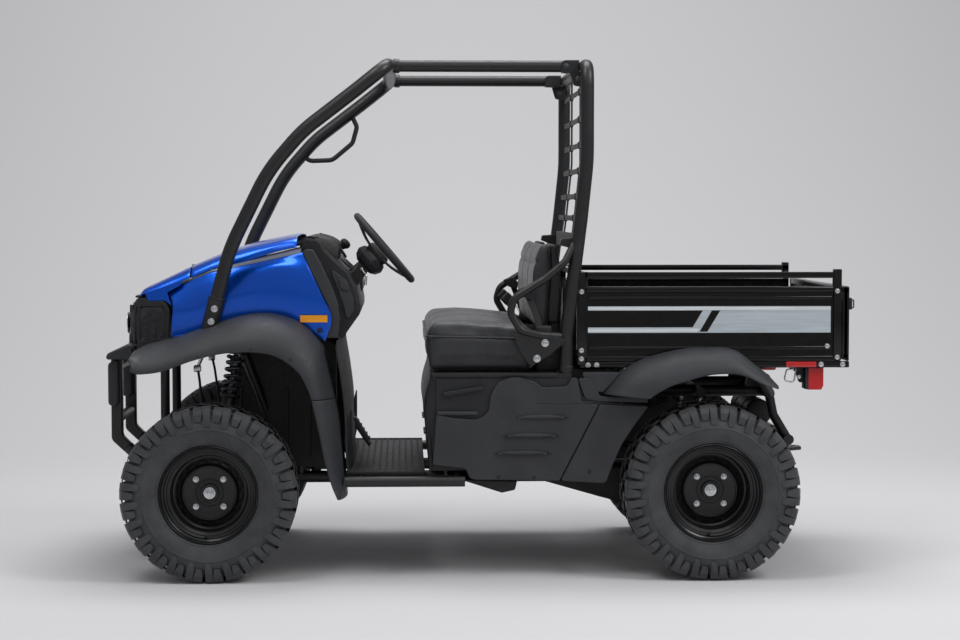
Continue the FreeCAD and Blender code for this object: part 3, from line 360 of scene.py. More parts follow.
@dataclass(frozen=True)
class Webbing(Finish):
    """Woven belt webbing: close diagonal ribs."""

    def made(self) -> Surface:
        """Make the weave."""
        surface = Surface(self.name, self.roughness)
        surface.set(Sheen_Weight=0.3, Sheen_Roughness=0.4)
        inputs = {"Vector": surface.place, "Scale": 260.0, "Distortion": 0.4}
        weave = surface.node("TexWave", inputs, bands_direction="DIAGONAL").outputs["Fac"]
        surface.shades(weave, self.colour, paler(self.colour, 1.8))
        surface.bump(weave, 0.0005)
        return surface


BODY_BLUE = MetallicPaint("body_blue", srgb(0, 84, 204), 0.3)
STRIPE_GREY = Film("stripe_grey", srgb(96, 100, 106), 0.34)
DARK_PLASTIC = MouldedPlastic("dark_plastic", srgb(49, 50, 53), 0.45, shine=0.27)
BLACK_PLASTIC = MouldedPlastic("black_plastic", srgb(22, 23, 25), 0.5)
FLOOR_PLASTIC = MouldedPlastic("floor_plastic", srgb(24, 25, 27), 0.58, 900.0)
SATIN_BLACK = SteelCoat("satin_black", srgb(18, 19, 20), 0.4)
GLOSS_BLACK = SteelCoat("gloss_black", srgb(4, 4, 5), 0.2, 0.25, 0.0)
WHEEL_BLACK = SteelCoat("wheel_black", srgb(17, 18, 19), 0.34, 0.2, 0.3)
TYRE_RUBBER = Rubber("tyre_rubber", srgb(53, 54, 56), 0.6)
GRIP_RUBBER = Rubber("grip_rubber", srgb(26, 27, 29), 0.62, 1.2)
SEAT_VINYL = Vinyl("seat_vinyl", srgb(38, 39, 41), 0.44)
BRIGHT_ZINC = BareMetal("bright_zinc", srgb(205, 207, 210), 0.24)
DARK_STEEL = BareMetal("dark_steel", srgb(88, 90, 94), 0.38, 0.9)
CAST_GREY = BareMetal("cast_grey", srgb(92, 94, 98), 0.5, 0.7, 0.0005)
EXHAUST = BareMetal("exhaust_black", srgb(58, 58, 60), 0.5, 0.6, 0.0003)
RED_LENS = LensPlastic("red_lens", srgb(196, 16, 22), 0.12)
AMBER_FILM = Film("amber_film", srgb(240, 158, 20), 0.35)
CLEAR_LENS = LensPlastic("clear_lens", srgb(235, 240, 245), 0.04, 0.92, 60.0)
SMOKED_LENS = LensPlastic("smoked_lens", srgb(26, 28, 33), 0.05, 0.35, 40.0)
SILVER_FILM = Film("silver_film", srgb(180, 190, 196), 0.36)
PALE_FILM = Film("pale_film", srgb(216, 222, 225), 0.34)
BELT = Webbing("belt_webbing", srgb(24, 24, 26), 0.7)


# ---------------------------------------------------------------- modelling steps


class View(Enum):
    """The plane that a flat outline is drawn in, with the turn that stands it up there."""

    SIDE = (math.pi / 2, 0.0, 0.0)
    TOP = (0.0, 0.0, 0.0)
    FRONT = (math.pi / 2, 0.0, math.pi / 2)


class Body(Enum):
    """The CAD body that a piece moves with."""

    ROOT = "root"
    HOOD = "hood"
    BED = "bed"
    GATE = "gate"
    STEERING = "steering"
    RACK = "rack"
    KNUCKLE_LEFT = "knuckle_l"
    KNUCKLE_RIGHT = "knuckle_r"
    TIE_LEFT = "tie_l"
    TIE_RIGHT = "tie_r"
    WHEEL_FRONT_LEFT = "wheel_fl"
    WHEEL_FRONT_RIGHT = "wheel_fr"
    WHEEL_REAR_LEFT = "wheel_rl"
    WHEEL_REAR_RIGHT = "wheel_rr"


class Slot(Enum):
    """The record's material slots, by name."""

    FRAME_BLACK = "frame_black"
    DARK_STEEL = "dark_steel"
    CAST_GREY = "cast_grey"
    BLUE_PANEL = "blue_panel"
    DARK_PLASTIC = "dark_plastic"
    LENS = "lens"
    GRIP_RUBBER = "grip_rubber"
    SEAT_VINYL = "seat_vinyl"
    BED_BLACK = "bed_black"
    LAMP_RED = "lamp_red"
    RIM_BLACK = "rim_black"
    TYRE_RUBBER = "tyre_rubber"


def select_only(*pieces: Piece) -> None:
    """Leave edit mode and select only these pieces, the first of them active.

    Args:
        pieces: The pieces; none of them leaves everything deselected.
    """
    active = bpy.context.view_layer.objects.active
    if active and active.mode != "OBJECT":
        bpy.ops.object.mode_set(mode="OBJECT")
    for chosen in bpy.context.selected_objects:
        chosen.select_set(False)
    for piece in pieces:
        piece.select_set(True)
    bpy.context.view_layer.objects.active = pieces[0] if pieces else None


def settled(piece: Piece, name: str) -> Piece:
    """Name a piece and move its place into its mesh.

    Args:
        piece: The piece, a mesh or a curve.
        name: Its name.

    Returns:
        The piece, as a mesh at the origin.
    """
    select_only(piece)
    if piece.type != "MESH":
        bpy.ops.object.convert(target="MESH")
        piece = bpy.context.object
    bpy.ops.object.transform_apply(location=True, rotation=True, scale=True)
    piece.name = piece.data.name = name
    return piece


def modified(piece: Piece, kind: str, **settings: object) -> Piece:
    """Apply one modifier to a piece.

    Args:
        piece: The piece.
        kind: The modifier's type.
        settings: The modifier's options.

    Returns:
        The piece.
    """
    select_only(piece)
    modifier = piece.modifiers.new(kind, kind)
    for key, value in settings.items():
        setattr(modifier, key, value)
    bpy.ops.object.modifier_apply(modifier=modifier.name)
    return piece


def smooth(piece: Piece, degrees: float = CREASE_ANGLE) -> Piece:
    """Shade a piece smooth.

    Args:
        piece: The piece.
        degrees: The angle between two faces from which their edge stays a crease.

    Returns:
        The piece.
    """
    select_only(piece)
    bpy.ops.object.shade_smooth_by_angle(angle=math.radians(degrees))
    return piece


def softened(piece: Piece, edge: float, steps: int = 2, degrees: float = CREASE_ANGLE) -> Piece:
    """Round a piece's sharp edges and shade it smooth.

    Args:
        piece: The piece.
        edge: How far the edges are rounded; 0 leaves them sharp.
        steps: How many steps each rounded edge has.
        degrees: The angle from which an edge stays a crease in the shading.

    Returns:
        The piece.
    """
    if edge:
        modified(
            piece, "BEVEL", width=edge, segments=steps, limit_method="ANGLE",
            angle_limit=math.radians(BEVEL_ANGLE), use_clamp_overlap=True)
    return smooth(piece, degrees)


def block(name: str, low: Numbers, high: Numbers, edge: float = 0.003, steps: int = 2) -> Piece:
    """Make a block with rounded edges.

    Args:
        name: The piece's name.
        low: Its lowest corner.
        high: Its highest corner.
        edge: How far its edges are rounded.
        steps: How many steps each rounded edge has.

    Returns:
        The block.
    """
    select_only()
    low, high = Vector(low), Vector(high)
    bpy.ops.mesh.primitive_cube_add(size=1, location=(low + high) / 2, scale=high - low)
    return softened(settled(bpy.context.object, name), edge, steps)


def post(
        name: str, start: Numbers, end: Numbers, radius: float, edge: float = 0.0015, sides: int = 32,
        narrowing: float = 1.0) -> Piece:
    """Make a round bar, or a cone, from one point to another.

    Args:
        name: The piece's name.
        start: The middle of its first end.
        end: The middle of its other end.
        radius: Its radius at the start.
        edge: How far the rims of its ends are rounded.
        sides: How many sides it has.
        narrowing: Its radius at the end, as a share of the first.

    Returns:
        The bar.
    """
    select_only()
    start, end = Vector(start), Vector(end)
    run = end - start
    bpy.ops.mesh.primitive_cone_add(
        vertices=sides, radius1=radius, radius2=radius * narrowing, depth=run.length,
        location=(start + end) / 2, rotation=run.to_track_quat("Z", "Y").to_euler())
    return softened(settled(bpy.context.object, name), edge, 2)


def eased(route: Sequence[Numbers], closed: bool = False) -> list[Vector]:
    """Round a route's corners.

    Args:
        route: Points (x, y, z) or (x, y, z, bend radius).
        closed: Whether the last point joins the first.

    Returns:
        The points of the rounded route.
    """
    points: list[Vector] = []
    count = len(route)
    for number, stop in enumerate(route):
        here = Vector(stop[:3])
        radius = stop[3] if len(stop) > 3 else 0.0
        if not radius or (not closed and number in (0, count - 1)):
            points.append(here)
            continue
        before = Vector(route[number - 1][:3]) - here
        after = Vector(route[(number + 1) % count][:3]) - here
        reach = radius / math.tan(max(before.angle(after) / 2, 0.05))
        reach = min(reach, before.length * 0.49, after.length * 0.49)
        start, end = here + before.normalized() * reach, here + after.normalized() * reach
        for step in range(BEND_STEPS + 1):
            t = step / BEND_STEPS
            points.append(start * (1 - t) ** 2 + here * 2 * t * (1 - t) + end * t * t)
    return points


def tube(name: str, route: Sequence[Numbers], radius: float, sides: int = 20) -> Piece:
    """Make a bent round tube.

    Args:
        name: The piece's name.
        route: Points (x, y, z) or (x, y, z, bend radius).
        radius: The tube's radius.
        sides: How many sides it has.

    Returns:
        The tube, with closed ends.
    """
    select_only()
    bpy.ops.curve.primitive_nurbs_path_add(location=(0, 0, 0))
    curve = bpy.context.object.data
    curve.splines.clear()
    points = eased(route)
    line = curve.splines.new("POLY")
    line.points.add(len(points) - 1)
    for spot, place in zip(line.points, points):
        spot.co = (*place, 1.0)
    curve.dimensions = "3D"
    curve.twist_mode = "MINIMUM"
    curve.bevel_depth = radius
    curve.bevel_resolution = (sides - 4) // 2
    curve.use_fill_caps = True
    return smooth(settled(bpy.context.object, name), 40)


def plate(
        name: str, outline: Sequence[Numbers], middle: float, thickness: float, edge: float = 0.002,
        view: View = View.SIDE, holes: Iterable[Sequence[Numbers]] = ()) -> Piece:
    """Make a plate with rounded edges from a flat outline.

    Args:
        name: The piece's name.
        outline: Points (a, b) or (a, b, corner radius) in the view's plane.
        middle: Where the middle of its thickness is, on the axis out of that plane.
        thickness: Its thickness.
        edge: How far its edges are rounded.
        view: The plane that the outline is drawn in.
        holes: Outlines cut out of it.

    Returns:
        The plate.
    """
    select_only()
    bpy.ops.curve.primitive_bezier_circle_add(location=(0, 0, 0))
    drawn = bpy.context.object
    curve = drawn.data
    curve.splines.clear()
    curve.dimensions = "2D"
    curve.fill_mode = "BOTH"
    for loop in (outline, *holes):
        corners = eased([(p[0], p[1], 0.0, *p[2:]) for p in loop], closed=True)
        line = curve.splines.new("POLY")
        line.points.add(len(corners) - 1)
        for spot, place in zip(line.points, corners):
            spot.co = (place.x, place.y, 0.0, 1.0)
        line.use_cyclic_u = True
    curve.extrude = max(thickness / 2 - edge, 0.0)
    curve.bevel_depth = edge
    curve.bevel_resolution = 1
    curve.offset = -edge
    drawn.rotation_euler = view.value
    drawn.location = {View.SIDE: (0, middle, 0), View.TOP: (0, 0, middle), View.FRONT: (middle, 0, 0)}[view]
    return smooth(settled(drawn, name))


def oblong(start: float, end: float, low: float, high: float, corner: float = 0.0) -> list[Numbers]:
    """Return a rectangle's outline, its corners rounded by a radius."""
    return [(start, low, corner), (end, low, corner), (end, high, corner), (start, high, corner)]


def circle(across: float, up: float, radius: float, sides: int) -> list[Numbers]:
    """Return a round outline about a point."""
    turns = [math.radians(360 / sides * i) for i in range(sides)]
    return [(across + radius * math.cos(turn), up + radius * math.sin(turn)) for turn in turns]


def from_plane(plane: float, pairs: Sequence[Numbers]) -> list[Numbers]:
    """Return profile points whose second number is counted from a plane."""
    return [(radius, plane + step) for radius, step in pairs]


def turned(
        name: str, profile: Sequence[Numbers], centre: Numbers, axis: Numbers, steps: int = 64,
        closed: bool = True) -> Piece:
    """Spin a profile about an axis.

    Args:
        name: The piece's name.
        profile: Points (radius, distance along the axis).
        centre: The point on the axis that the distances start from.
        axis: The axis's direction.
        steps: How many steps the spin has.
        closed: Whether the profile's last point joins its first.

    Returns:
        The turned piece.
    """
    axis = Vector(axis).normalized()
    across = axis.orthogonal().normalized()
    centre = Vector(centre)
    places = [centre + across * max(r, 0.0) + axis * d for r, d in profile]
    edges = [(i, i + 1) for i in range(len(places) - 1)]
    if closed:
        edges.append((len(places) - 1, 0))
    mesh = bpy.data.meshes.new(name)
    mesh.from_pydata(places, edges, [])
    piece = bpy.data.objects.new(name, mesh)
    bpy.context.scene.collection.objects.link(piece)
    select_only(piece)
    bpy.ops.object.mode_set(mode="EDIT")
    bpy.ops.mesh.select_all(action="SELECT")
    bpy.ops.mesh.spin(steps=steps, angle=2 * math.pi, center=centre, axis=axis)
    bpy.ops.mesh.select_all(action="SELECT")
    bpy.ops.mesh.remove_doubles(threshold=MERGE_DISTANCE)
    bpy.ops.mesh.normals_make_consistent(inside=False)
    return smooth(settled(piece, name), 30)


def sampled(points: Sequence[Vector], count: int) -> list[Vector]:
    """Place points evenly on the smooth line through a few points.

    Args:
        points: The points that the line passes through.
        count: How many points to return.

    Returns:
        The points, from the first to the last.
    """
    marks = [0.0]
    for first, second in zip(points, points[1:]):
        marks.append(marks[-1] + max((second - first).length, 1e-6))
    made = []
    for number in range(count):
        target = marks[-1] * number / (count - 1)
        at = min(max(i for i, mark in enumerate(marks) if mark <= target + 1e-9), len(points) - 2)
        t = (target - marks[at]) / (marks[at + 1] - marks[at])
        p1, p2 = points[at], points[at + 1]
        length = marks[at + 1] - marks[at]
        m1 = (p2 - p1) / length if at == 0 else (p2 - points[at - 1]) / (marks[at + 1] - marks[at - 1])
        last = at + 2 > len(points) - 1
        m2 = (p2 - p1) / length if last else (points[at + 2] - p1) / (marks[at + 2] - marks[at])
        made.append(
            p1 * (2 * t**3 - 3 * t * t + 1) + m1 * length * (t**3 - 2 * t * t + t)
            + p2 * (3 * t * t - 2 * t**3) + m2 * length * (t**3 - t * t))
    return made


def shell(
        name: str, sections: Sequence[Sequence[Numbers]], along: int, across: int, wall: float,
        outward: Numbers, edge: float = 0.0) -> Piece:
    """Lay a grid smoothly through a few sections, and give it a wall.

    Args:
        name: The piece's name.
        sections: Lines of points; all have the same number of points.
        along: How many rows of points the grid has from the first section to the last.
        across: How many points each row has.
        wall: The wall's thickness, inwards from the grid.
        outward: Roughly where the outer face points.
        edge: How far the wall's edges are rounded.

    Returns:
        The shell.
    """
    lines = [[Vector(p) for p in section] for section in sections]
    columns = [sampled([line[i] for line in lines], along) for i in range(len(lines[0]))]
    rows = [sampled([column[i] for column in columns], across) for i in range(along)]
    select_only()
    bpy.ops.mesh.primitive_grid_add(x_subdivisions=across - 1, y_subdivisions=along - 1, size=1)
    piece = bpy.context.object
    for vertex, place in zip(piece.data.vertices, (p for row in rows for p in row)):
        vertex.co = place
    piece.data.update()
    facing = sum((face.normal * face.area for face in piece.data.polygons), Vector())
    if facing.dot(Vector(outward)) < 0:
        piece.data.flip_normals()
    settled(piece, name)
    modified(piece, "SOLIDIFY", thickness=wall, offset=-1, use_even_offset=True)
    return softened(piece, edge)


def copied(piece: Piece, name: str, place: Matrix) -> Piece:
    """Copy a piece with its own mesh, and move the copy.

    Args:
        piece: The piece.
        name: The copy's name.
        place: How the copy is moved; a mirror turns its faces out again.

    Returns:
        The copy.
    """
    twin = bpy.data.objects.new(name, piece.data.copy())
    bpy.context.scene.collection.objects.link(twin)
    twin.data.transform(place)
    twin.data.name = name
    if place.determinant() < 0:
        twin.data.flip_normals()
    return twin


def mirrored(piece: Piece, name: str) -> Piece:
    """Copy a piece to the other side of the vehicle."""
    return copied(piece, name, Matrix.Scale(-1, 4, ACROSS))


def joined(name: str, pieces: Sequence[Piece]) -> Piece:
    """Join pieces of one finish into one.

    Args:
        name: The joined piece's name.
        pieces: The pieces.

    Returns:
        The joined piece.
    """
    select_only(*pieces)
    if len(pieces) > 1:
        bpy.ops.object.join()
    pieces[0].name = pieces[0].data.name = name
    return pieces[0]


def both(name: str, pieces: Sequence[Piece]) -> Piece:
    """Join pieces with their mirror images."""
    return joined(name, [*pieces, *(mirrored(piece, f"{piece.name}_twin") for piece in pieces)])


def ring(name: str, piece: Piece, places: Sequence[Matrix]) -> Piece:
    """Join copies of one piece, and remove the piece itself.

    Args:
        name: The joined piece's name.
        piece: The piece to copy.
        places: How each copy is moved.

    Returns:
        The joined copies.
    """
    made = joined(name, [copied(piece, f"{name}_{i}", place) for i, place in enumerate(places)])
    bpy.data.objects.remove(piece)
    return made


def about(centre: Numbers, axis: Numbers, degrees: float) -> Matrix:
    """Return a turn about an axis through a point."""
    middle = Matrix.Translation(Vector(centre))
    return middle @ Matrix.Rotation(math.radians(degrees), 4, Vector(axis)) @ middle.inverted()


def bolts(name: str, places: Sequence[Numbers], axis: Numbers, radius: float = 0.007) -> Piece:
    """Make hexagon bolt heads with washers.

    Args:
        name: The piece's name.
        places: Where each washer lies on its surface.
        axis: The direction that the heads point to.
        radius: A head's radius.

    Returns:
        The bolt heads, as one piece.
    """
    axis = Vector(axis).normalized()
    washer = post("washer", axis * -radius, axis * radius * 0.22, radius * 1.45, radius * 0.1, 20)
    head = post("head", (0, 0, 0), axis * radius * 0.95, radius, radius * 0.16, 6)
    one = joined("bolt", [washer, head])
    return ring(name, one, [Matrix.Translation(Vector(place)) for place in places])


def swept_flare(
        name: str, pairs: Sequence[tuple[Numbers, Numbers]], rows: int, inner: float, outer: float,
        outward: Numbers) -> Piece:
    """Build a flare whose section rounds over from its crest, by the body, to its lip.

    Args:
        name: The piece's name.
        pairs: Crest and lip points, (along, up), from one end of the flare to the other.
        rows: How many rows of points it gets from end to end.
        inner: How far out its crest is.
        outer: How far out its lip is.
        outward: Roughly where its outer face points.

    Returns:
        The flare, with its lip turned in.
    """
    sections = []
    for crest, lip in pairs:
        points = []
        for share in (0.0, 0.18, 0.38, 0.56, 0.72, 0.86, 1.0):
            turn = share * math.pi / 2
            fall = (1 - math.cos(turn)) ** 0.85
            points.append((
                crest[0] + (lip[0] - crest[0]) * fall, -(inner + (outer - inner) * math.sin(turn) ** 0.9),
                crest[1] + (lip[1] - crest[1]) * fall))
        x, y, z = points[-1]
        points.append((x - (lip[0] - crest[0]) * 0.02, y + 0.012, z - (lip[1] - crest[1]) * 0.02))
        sections.append(points)
    return shell(name, sections, rows, 24, 0.005, outward, 0.0012)


def fastened(
        name: str, places: Sequence[Numbers], radius: float, finish: Finish,
        body: Body = Body.ROOT) -> None:
    """Dress bolt heads that point outwards on both sides of the vehicle."""
    dressed(both(name, [bolts(name, places, LEFT, radius)]), finish, body)


def coil(name: str, start: Vector, end: Vector, radius: float, wire: float, turns: float) -> Piece:
    """Build a coil spring with flattened ends.

    Args:
        name: The spring's name.
        start: The middle of its lower end.
        end: The middle of its upper end.
        radius: The radius of its wire's middle line.
        wire: The wire's radius.
        turns: How many turns it has.

    Returns:
        The spring.
    """
    run = end - start
    across = run.orthogonal().normalized()
    up = run.normalized().cross(across)
    steps = int(turns * 20)
    points = []
    for step in range(steps + 1):
        t = step / steps
        rise = wire + (run.length - 2 * wire) * (t * t * (3 - 2 * t) * 0.25 + t * 0.75)
        turn = 2 * math.pi * turns * t
        points.append(
            start + run.normalized() * rise + (across * math.cos(turn) + up * math.sin(turn)) * radius)
    return tube(name, points, wire, 10)


def dressed(
        piece: Piece, finish: Finish, body: Body = Body.ROOT,
        stands_for: Sequence[str] = ()) -> Piece:
    """Give a piece its finish and its body.

    Args:
        piece: The piece.
        finish: Its finish.
        body: The CAD body that it moves with.
        stands_for: The CAD nodes that it replaces.

    Returns:
        The piece.
    """
    piece.data.materials.clear()
    piece.data.materials.append(finish.material())
    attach(piece, body.value)
    if stands_for:
        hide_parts(*stands_for)
    LOG.info("%s rides on %s in %s", piece.name, body.value, finish.name)
    return piece


# ---------------------------------------------------------------- wheels


@dataclass
class Wheel:
    """One left wheel and the right one that mirrors it."""

    axle: str
    left_body: Body
    right_body: Body
    centre: Numbers
    width: float
    disc_set: float
    radius: float = 0.312
    lug_pairs: int = 26
    lug_draft: float = 0.0035
    bolt_circle: float = 0.0685
    vents: int = 16
    vent_ring: tuple[float, float] = (0.106, 0.121)

    @property
    def half(self) -> float:
        """Half the tyre's width."""
        return self.width / 2

    @property
    def seat(self) -> float:
        """How far the rim's lips are from the wheel's middle."""
        return self.half - 0.0295

    @property
    def disc(self) -> float:
        """How far out the disc's face is."""
        return self.seat - self.disc_set + 0.005

    def spot(self, radius: float, out: float, degrees: float = 0.0) -> Vector:
        """Return a point of the wheel from its radius, its distance outboard and its angle."""
        turn = math.radians(degrees)
        return Vector(self.centre) + Vector((radius * math.cos(turn), -out, radius * math.sin(turn)))

    def carcass(self) -> Piece:
        """Build the tyre's body with its bead, sidewall rings and crown."""
        half, seat = self.half, self.seat
        side = [
            *from_plane(seat, [
                (0.156, -0.03), (0.166, -0.016), (0.1755, -0.004), (0.1765, 0.0045), (0.179, 0.01),
                (0.1815, 0.0115), (0.184, 0.0112), (0.186, 0.0145)]),
            *from_plane(half, [
                (0.2, -0.0085), (0.216, -0.0025), (0.23, -0.0006), (0.2315, 0.001), (0.2345, 0.001),
                (0.236, -0.0006), (0.252, -0.003), (0.266, -0.0095), (0.279, -0.0195), (0.289, -0.031),
                (0.2955, -0.048), (0.2985, -0.068)]),
            (0.2995, 0.012)]
        profile = side + [(r, -y) for r, y in reversed(side)]
        return turned(f"tyre_{self.axle}_carcass", profile, self.centre, LEFT, 104)

    def lug(self, name: str, stations: Sequence[Numbers], skew: float = 0.0) -> Piece:
        """Build one tread lug.

        Args:
            name: The lug's name.
            stations: Rows of (outer radius, outboard distance, foot radius, foot distance, half width).
            skew: How far its last row is turned round the tyre, in metres.

        Returns:
            The lug.
        """
        select_only()
        bpy.ops.mesh.primitive_grid_add(x_subdivisions=3, y_subdivisions=len(stations) - 1, size=1)
        piece = bpy.context.object
        for number, vertex in enumerate(piece.data.vertices):
            row, column = divmod(number, 4)
            top, out, foot, foot_out, wide = stations[row]
            lean = skew * row / (len(stations) - 1)
            side = -1 if column < 2 else 1
            inner = column in (0, 3)
            angle = (side * (wide + (self.lug_draft if inner else 0.0)) + lean) / self.radius
            r, y = (foot, foot_out) if inner else (top, out)
            vertex.co = self.spot(r, y, 90 + math.degrees(angle))
        bpy.ops.object.mode_set(mode="EDIT")
        bpy.ops.mesh.select_all(action="SELECT")
        bpy.ops.mesh.region_to_loop()
        bpy.ops.mesh.edge_face_add()
        bpy.ops.mesh.select_all(action="SELECT")
        bpy.ops.mesh.normals_make_consistent(inside=False)
        return smooth(settled(piece, name), 25)

    def tread(self) -> Piece:
        """Build the rings of lugs: long and short shoulder lugs in turn, and two rows between them."""
        half = self.half
        long_side = [
            (0.243, half + 0.0005, 0.241, half - 0.006, 0.01),
            (0.258, half + 0.004, 0.254, half - 0.012, 0.0125),
            (0.286, half + 0.0005, 0.276, half - 0.022, 0.0135),
            (0.303, half - 0.007, 0.289, half - 0.036, 0.014),
            (0.3115, half - 0.023, 0.295, half - 0.05, 0.015),
            (0.312, half * 0.5, 0.297, half * 0.5, 0.013)]
        short_side = [
            (0.262, half - 0.002, 0.259, half - 0.012, 0.011),
            (0.287, half - 0.0005, 0.277, half - 0.024, 0.0155),
            (0.3035, half - 0.0085, 0.29, half - 0.038, 0.0165),
            (0.3118, half - 0.027, 0.295, half - 0.052, 0.0165),
            (0.312, half * 0.6, 0.297, half * 0.6, 0.014)]
        middle = [
            (0.312, half * 0.4, 0.2965, half * 0.42, 0.0135),
            (0.312, half * 0.22, 0.297, half * 0.22, 0.015),
            (0.312, half * 0.03, 0.2965, half * 0.01, 0.0125)]
        pitch = 360 / self.lug_pairs
        flip = Matrix.Translation(Vector(self.centre)) @ Matrix.Scale(-1, 4, ACROSS) @ Matrix.Translation(
            -Vector(self.centre))
        rings = []
        for label, rows, skew, start in (
                ("long", long_side, 0.008, 0.0), ("short", short_side, -0.004, 0.5),
                ("middle", middle, 0.014, 0.3)):
            base = self.lug(f"lug_{label}", rows, skew)
            turns = [about(self.centre, ACROSS, (start + i) * pitch) for i in range(self.lug_pairs)]
            facing = [
                about(self.centre, ACROSS, (start + 0.5 + i) * pitch) @ flip for i in range(self.lug_pairs)]
            rings.append(ring(f"ring_{label}", base, turns + facing))
        return joined(f"tyre_{self.axle}_lugs", rings)

    def dish(self) -> Piece:
        """Build the rim with its rolled lips, barrel, domed disc and pressed vent slots."""
        seat, disc = self.seat, self.disc
        front = [
            *from_plane(seat, [
                (0.16, -0.015), (0.172, -0.0062), (0.1752, 0.001), (0.1742, 0.006), (0.1708, 0.0078),
                (0.1672, 0.004), (0.1645, -0.004), (0.16, -0.0072), (0.159, -0.013), (0.1565, -0.02),
                (0.15, -0.023), (0.148, -0.029), (0.138, -0.034), (0.1355, -0.04)]),
            *from_plane(disc, [
                (0.1345, -0.002), (0.131, -0.0125), (0.125, -0.015), (0.1215, -0.0145), (0.105, -0.0085),
                (0.101, -0.004), (0.0985, 0.003), (0.0955, 0.0052), (0.0925, 0.0045), (0.0905, 0.0008),
                (0.088, 0.0), (0.051, 0.0), (0.0495, 0.0022), (0.0465, 0.0022), (0.045, -0.0005),
                (0.0345, -0.0005), (0.0338, 0.0095), (0.0318, 0.012), (0.0262, 0.012), (0.025, 0.006),
                (0.0, 0.006)])]
        back = [
            *from_plane(disc, [(0.0, -0.006), (0.088, -0.006), (0.128, -0.021), (0.139, -0.012)]),
            *from_plane(-seat, [
                (0.142, 0.03), (0.153, 0.01), (0.168, 0.004), (0.172, 0.0), (0.1745, 0.003), (0.172, 0.007),
                (0.158, 0.014), (0.146, 0.04)]),
            *from_plane(seat, [(0.144, -0.05), (0.153, -0.028)])]
        rim = turned(f"rim_{self.axle}", front + back, self.centre, LEFT, 96)
        select_only(rim)
        mesh = rim.data
        middle = Vector(self.centre)
        pitch = 360 / self.vents
        inner, outer = self.vent_ring
        for face in mesh.polygons:
            place = face.center - middle
            radius, out = math.hypot(place.x, place.z), -place.y
            share = math.degrees(math.atan2(place.z, place.x)) % pitch / pitch
            on_slope = inner < radius < outer and abs(out - disc + 0.0115) < 0.003
            face.select = on_slope and 0.32 < share < 0.99
        bpy.context.tool_settings.mesh_select_mode = (False, False, True)
        bpy.ops.object.mode_set(mode="EDIT")
        bpy.ops.mesh.inset(thickness=0.0014, depth=0.0, use_even_offset=True)
        bpy.ops.mesh.extrude_region_move(TRANSFORM_OT_translate={"value": (0, 0.0075, 0)})
        bpy.ops.object.mode_set(mode="OBJECT")
        bpy.context.tool_settings.mesh_select_mode = (True, False, False)
        return smooth(rim, 30)

    def fasteners(self) -> Piece:
        """Build the four wheel nuts and the axle nut."""
        nuts = []
        for degrees in (45, 135, 225, 315):
            foot = self.spot(self.bolt_circle, self.disc - 0.001, degrees)
            tip = self.spot(self.bolt_circle, self.disc + 0.015, degrees)
            nuts.append(post("nut", foot, tip, 0.0098, 0.0012, 6, 0.9))
            nuts.append(post("nut_collar", foot, foot.lerp(tip, 0.3), 0.0118, 0.001, 24, 0.92))
            nuts.append(post("stud", tip, tip + Vector((0, -0.004, 0)), 0.0055, 0.0008, 16))
        foot, tip = self.spot(0, self.disc + 0.004), self.spot(0, self.disc + 0.0175)
        nuts.append(post("axle_nut", foot, tip, 0.0165, 0.0015, 6))
        nuts.append(post("axle_washer", foot, foot.lerp(tip, 0.3), 0.0215, 0.001, 32))
        nuts.append(post("axle_end", tip, tip + Vector((0, -0.0055, 0)), 0.009, 0.0012, 24, 0.9))
        return joined(f"wheel_nuts_{self.axle}", nuts)

    def valve(self) -> Piece:
        """Build the tyre valve with its cap."""
        foot, tip = self.spot(0.1505, self.seat - 0.03, -94), self.spot(0.145, self.seat - 0.004, -94)
        return joined(f"valve_{self.axle}", [
            post("valve_stem", foot, tip, 0.0055, 0.001, 16, 0.8),
            post("valve_cap", foot.lerp(tip, 0.5), tip, 0.0052, 0.001, 12)])

    def build(self) -> None:
        """Build the left wheel, copy it to the right, and dress both."""
        tyre = joined(f"tyre_{self.axle}_left_rubber", [self.carcass(), self.tread()])
        parts = [
            (tyre, TYRE_RUBBER, Slot.TYRE_RUBBER, "tyre"),
            (self.dish(), WHEEL_BLACK, Slot.RIM_BLACK, "rim"), (self.fasteners(), BRIGHT_ZINC, None, ""),
            (self.valve(), GRIP_RUBBER, None, "")]
        for piece, finish, slot, kind in parts:
            twin = mirrored(piece, piece.name.replace("_left", "") + "_right")
            for side, body, one in (("left", self.left_body, piece), ("right", self.right_body, twin)):
                stands_for = [f"{kind}_{self.axle}_{side}"] if kind else []
                dressed(one, finish, body, stands_for)


# ---------------------------------------------------------------- cage


